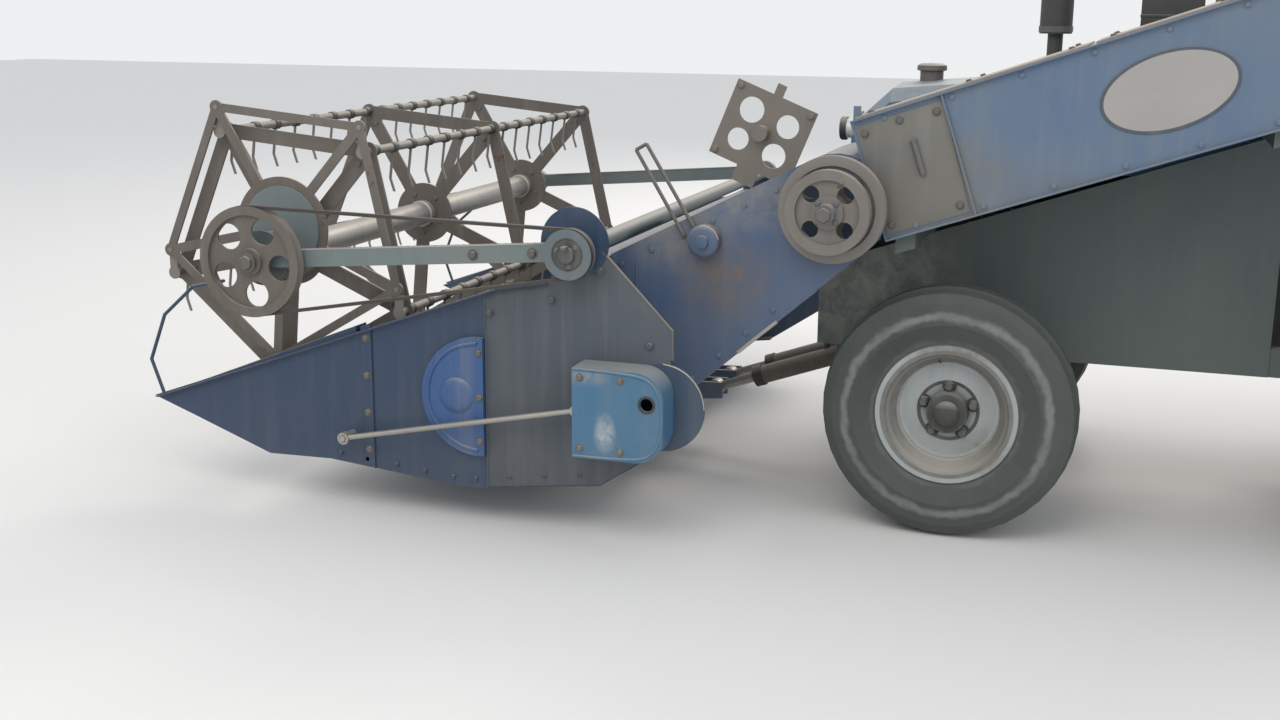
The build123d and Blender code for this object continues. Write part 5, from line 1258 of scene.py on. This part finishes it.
def outletFlaps():
    # rubber strips that hang in the rear outlet
    strips = [blockPiece("flapStrip", (-3.796, y - 0.094, 0.905), (-3.79, y + 0.094, 1.118), 0.001,
        1) for y in [-0.6 + 0.2 * k for k in range(7)]]
    settle(joinPieces("outletFlaps", strips), "carrier", "beltRubber", 30.0)
    settle(blockPiece("flapBar", (-3.803, -0.7, 1.112), (-3.78, 0.7, 1.14), 0.002, 1), "carrier",
        "wornGrey")


def drivePieces():
    for name, x, z, size in (("drumShaftNut", -3.0, 1.7, 0.04), ("fanShaftNut", -2.79, 1.01, 0.032)):
        boltSet(name, [facing(at(x, 1.0445, z), outLeft)], "carrier", "wornGrey", size, 0.012)
    places = ringPlaces((-3.0, 1.7), 1.0315, 0.047, 4, 45, outLeft)
    boltSet("drumPulleyBolts", places, "thresher_drum", "wornGrey", 0.013, 0.007)


bothSides(thresherDoors)
bothSides(thresherBolts)
rearBolts()
bothSides(drumRings)
feederCowl()
outletFlaps()
drivePieces()
print("thresher pieces done")

# Floor and light
stageLook = {"floorColour": (0.74, 0.72, 0.69), "size": 60.0, "world": 0.95}


def addStage():
    clearSelection()
    bpy.ops.mesh.primitive_plane_add(size=stageLook["size"], location=(0, 0, -0.002))
    floor = named("studioFloor")
    material, tree, surface, vector = startMaterial("studioFloor", Roughness=0.9, Specular_IOR_Level=0.1,
        Base_Color=(*stageLook["floorColour"], 1))
    floor.data.materials.append(material)
    world = bpy.context.scene.world or bpy.data.worlds.new("studio")
    bpy.context.scene.world = world
    world.use_nodes = True
    tree = world.node_tree
    tree.nodes.clear()
    output = tree.nodes.new("ShaderNodeOutputWorld")
    soft, seen = [addNode(tree, "ShaderNodeBackground", {"Color": colour, "Strength": strength}).outputs[0]
        for colour, strength in (((0.9, 0.94, 1.0, 1), stageLook["world"]), ((0.86, 0.87, 0.88, 1), 1.0))]
    path = tree.nodes.new("ShaderNodeLightPath").outputs["Is Camera Ray"]
    blend = addNode(tree, "ShaderNodeMixShader", {0: path, 1: soft, 2: seen})
    tree.links.new(blend.outputs[0], output.inputs["Surface"])


lamps = {
    # name: place, aim, size, power, colour
    "keyLamp": ((1.5, 6.5, 6.5), (0.6, 0.0, 0.6), 4.5, 190.0, (1.0, 0.97, 0.93)),
    "fillLamp": ((-5.5, 6.0, 4.0), (-1.0, 0.0, 0.9), 5.0, 120.0, (0.93, 0.96, 1.0)),
    "sunSideLamp": ((-1.0, -7.5, 6.5), (0.0, 0.0, 0.8), 4.0, 420.0, (1.0, 0.95, 0.88)),
}


def addLamps():
    for name, (place, aim, size, power, colour) in lamps.items():
        clearSelection()
        bpy.ops.object.light_add(type="AREA", location=at(*place))
        lamp = bpy.context.object
        lamp.name = name
        lamp.data.size, lamp.data.energy, lamp.data.color = size, power, colour
        lamp.rotation_euler = (at(*aim) - at(*place)).to_track_quat("-Z", "Y").to_euler()


addStage()
addLamps()
print("floor and light in place")
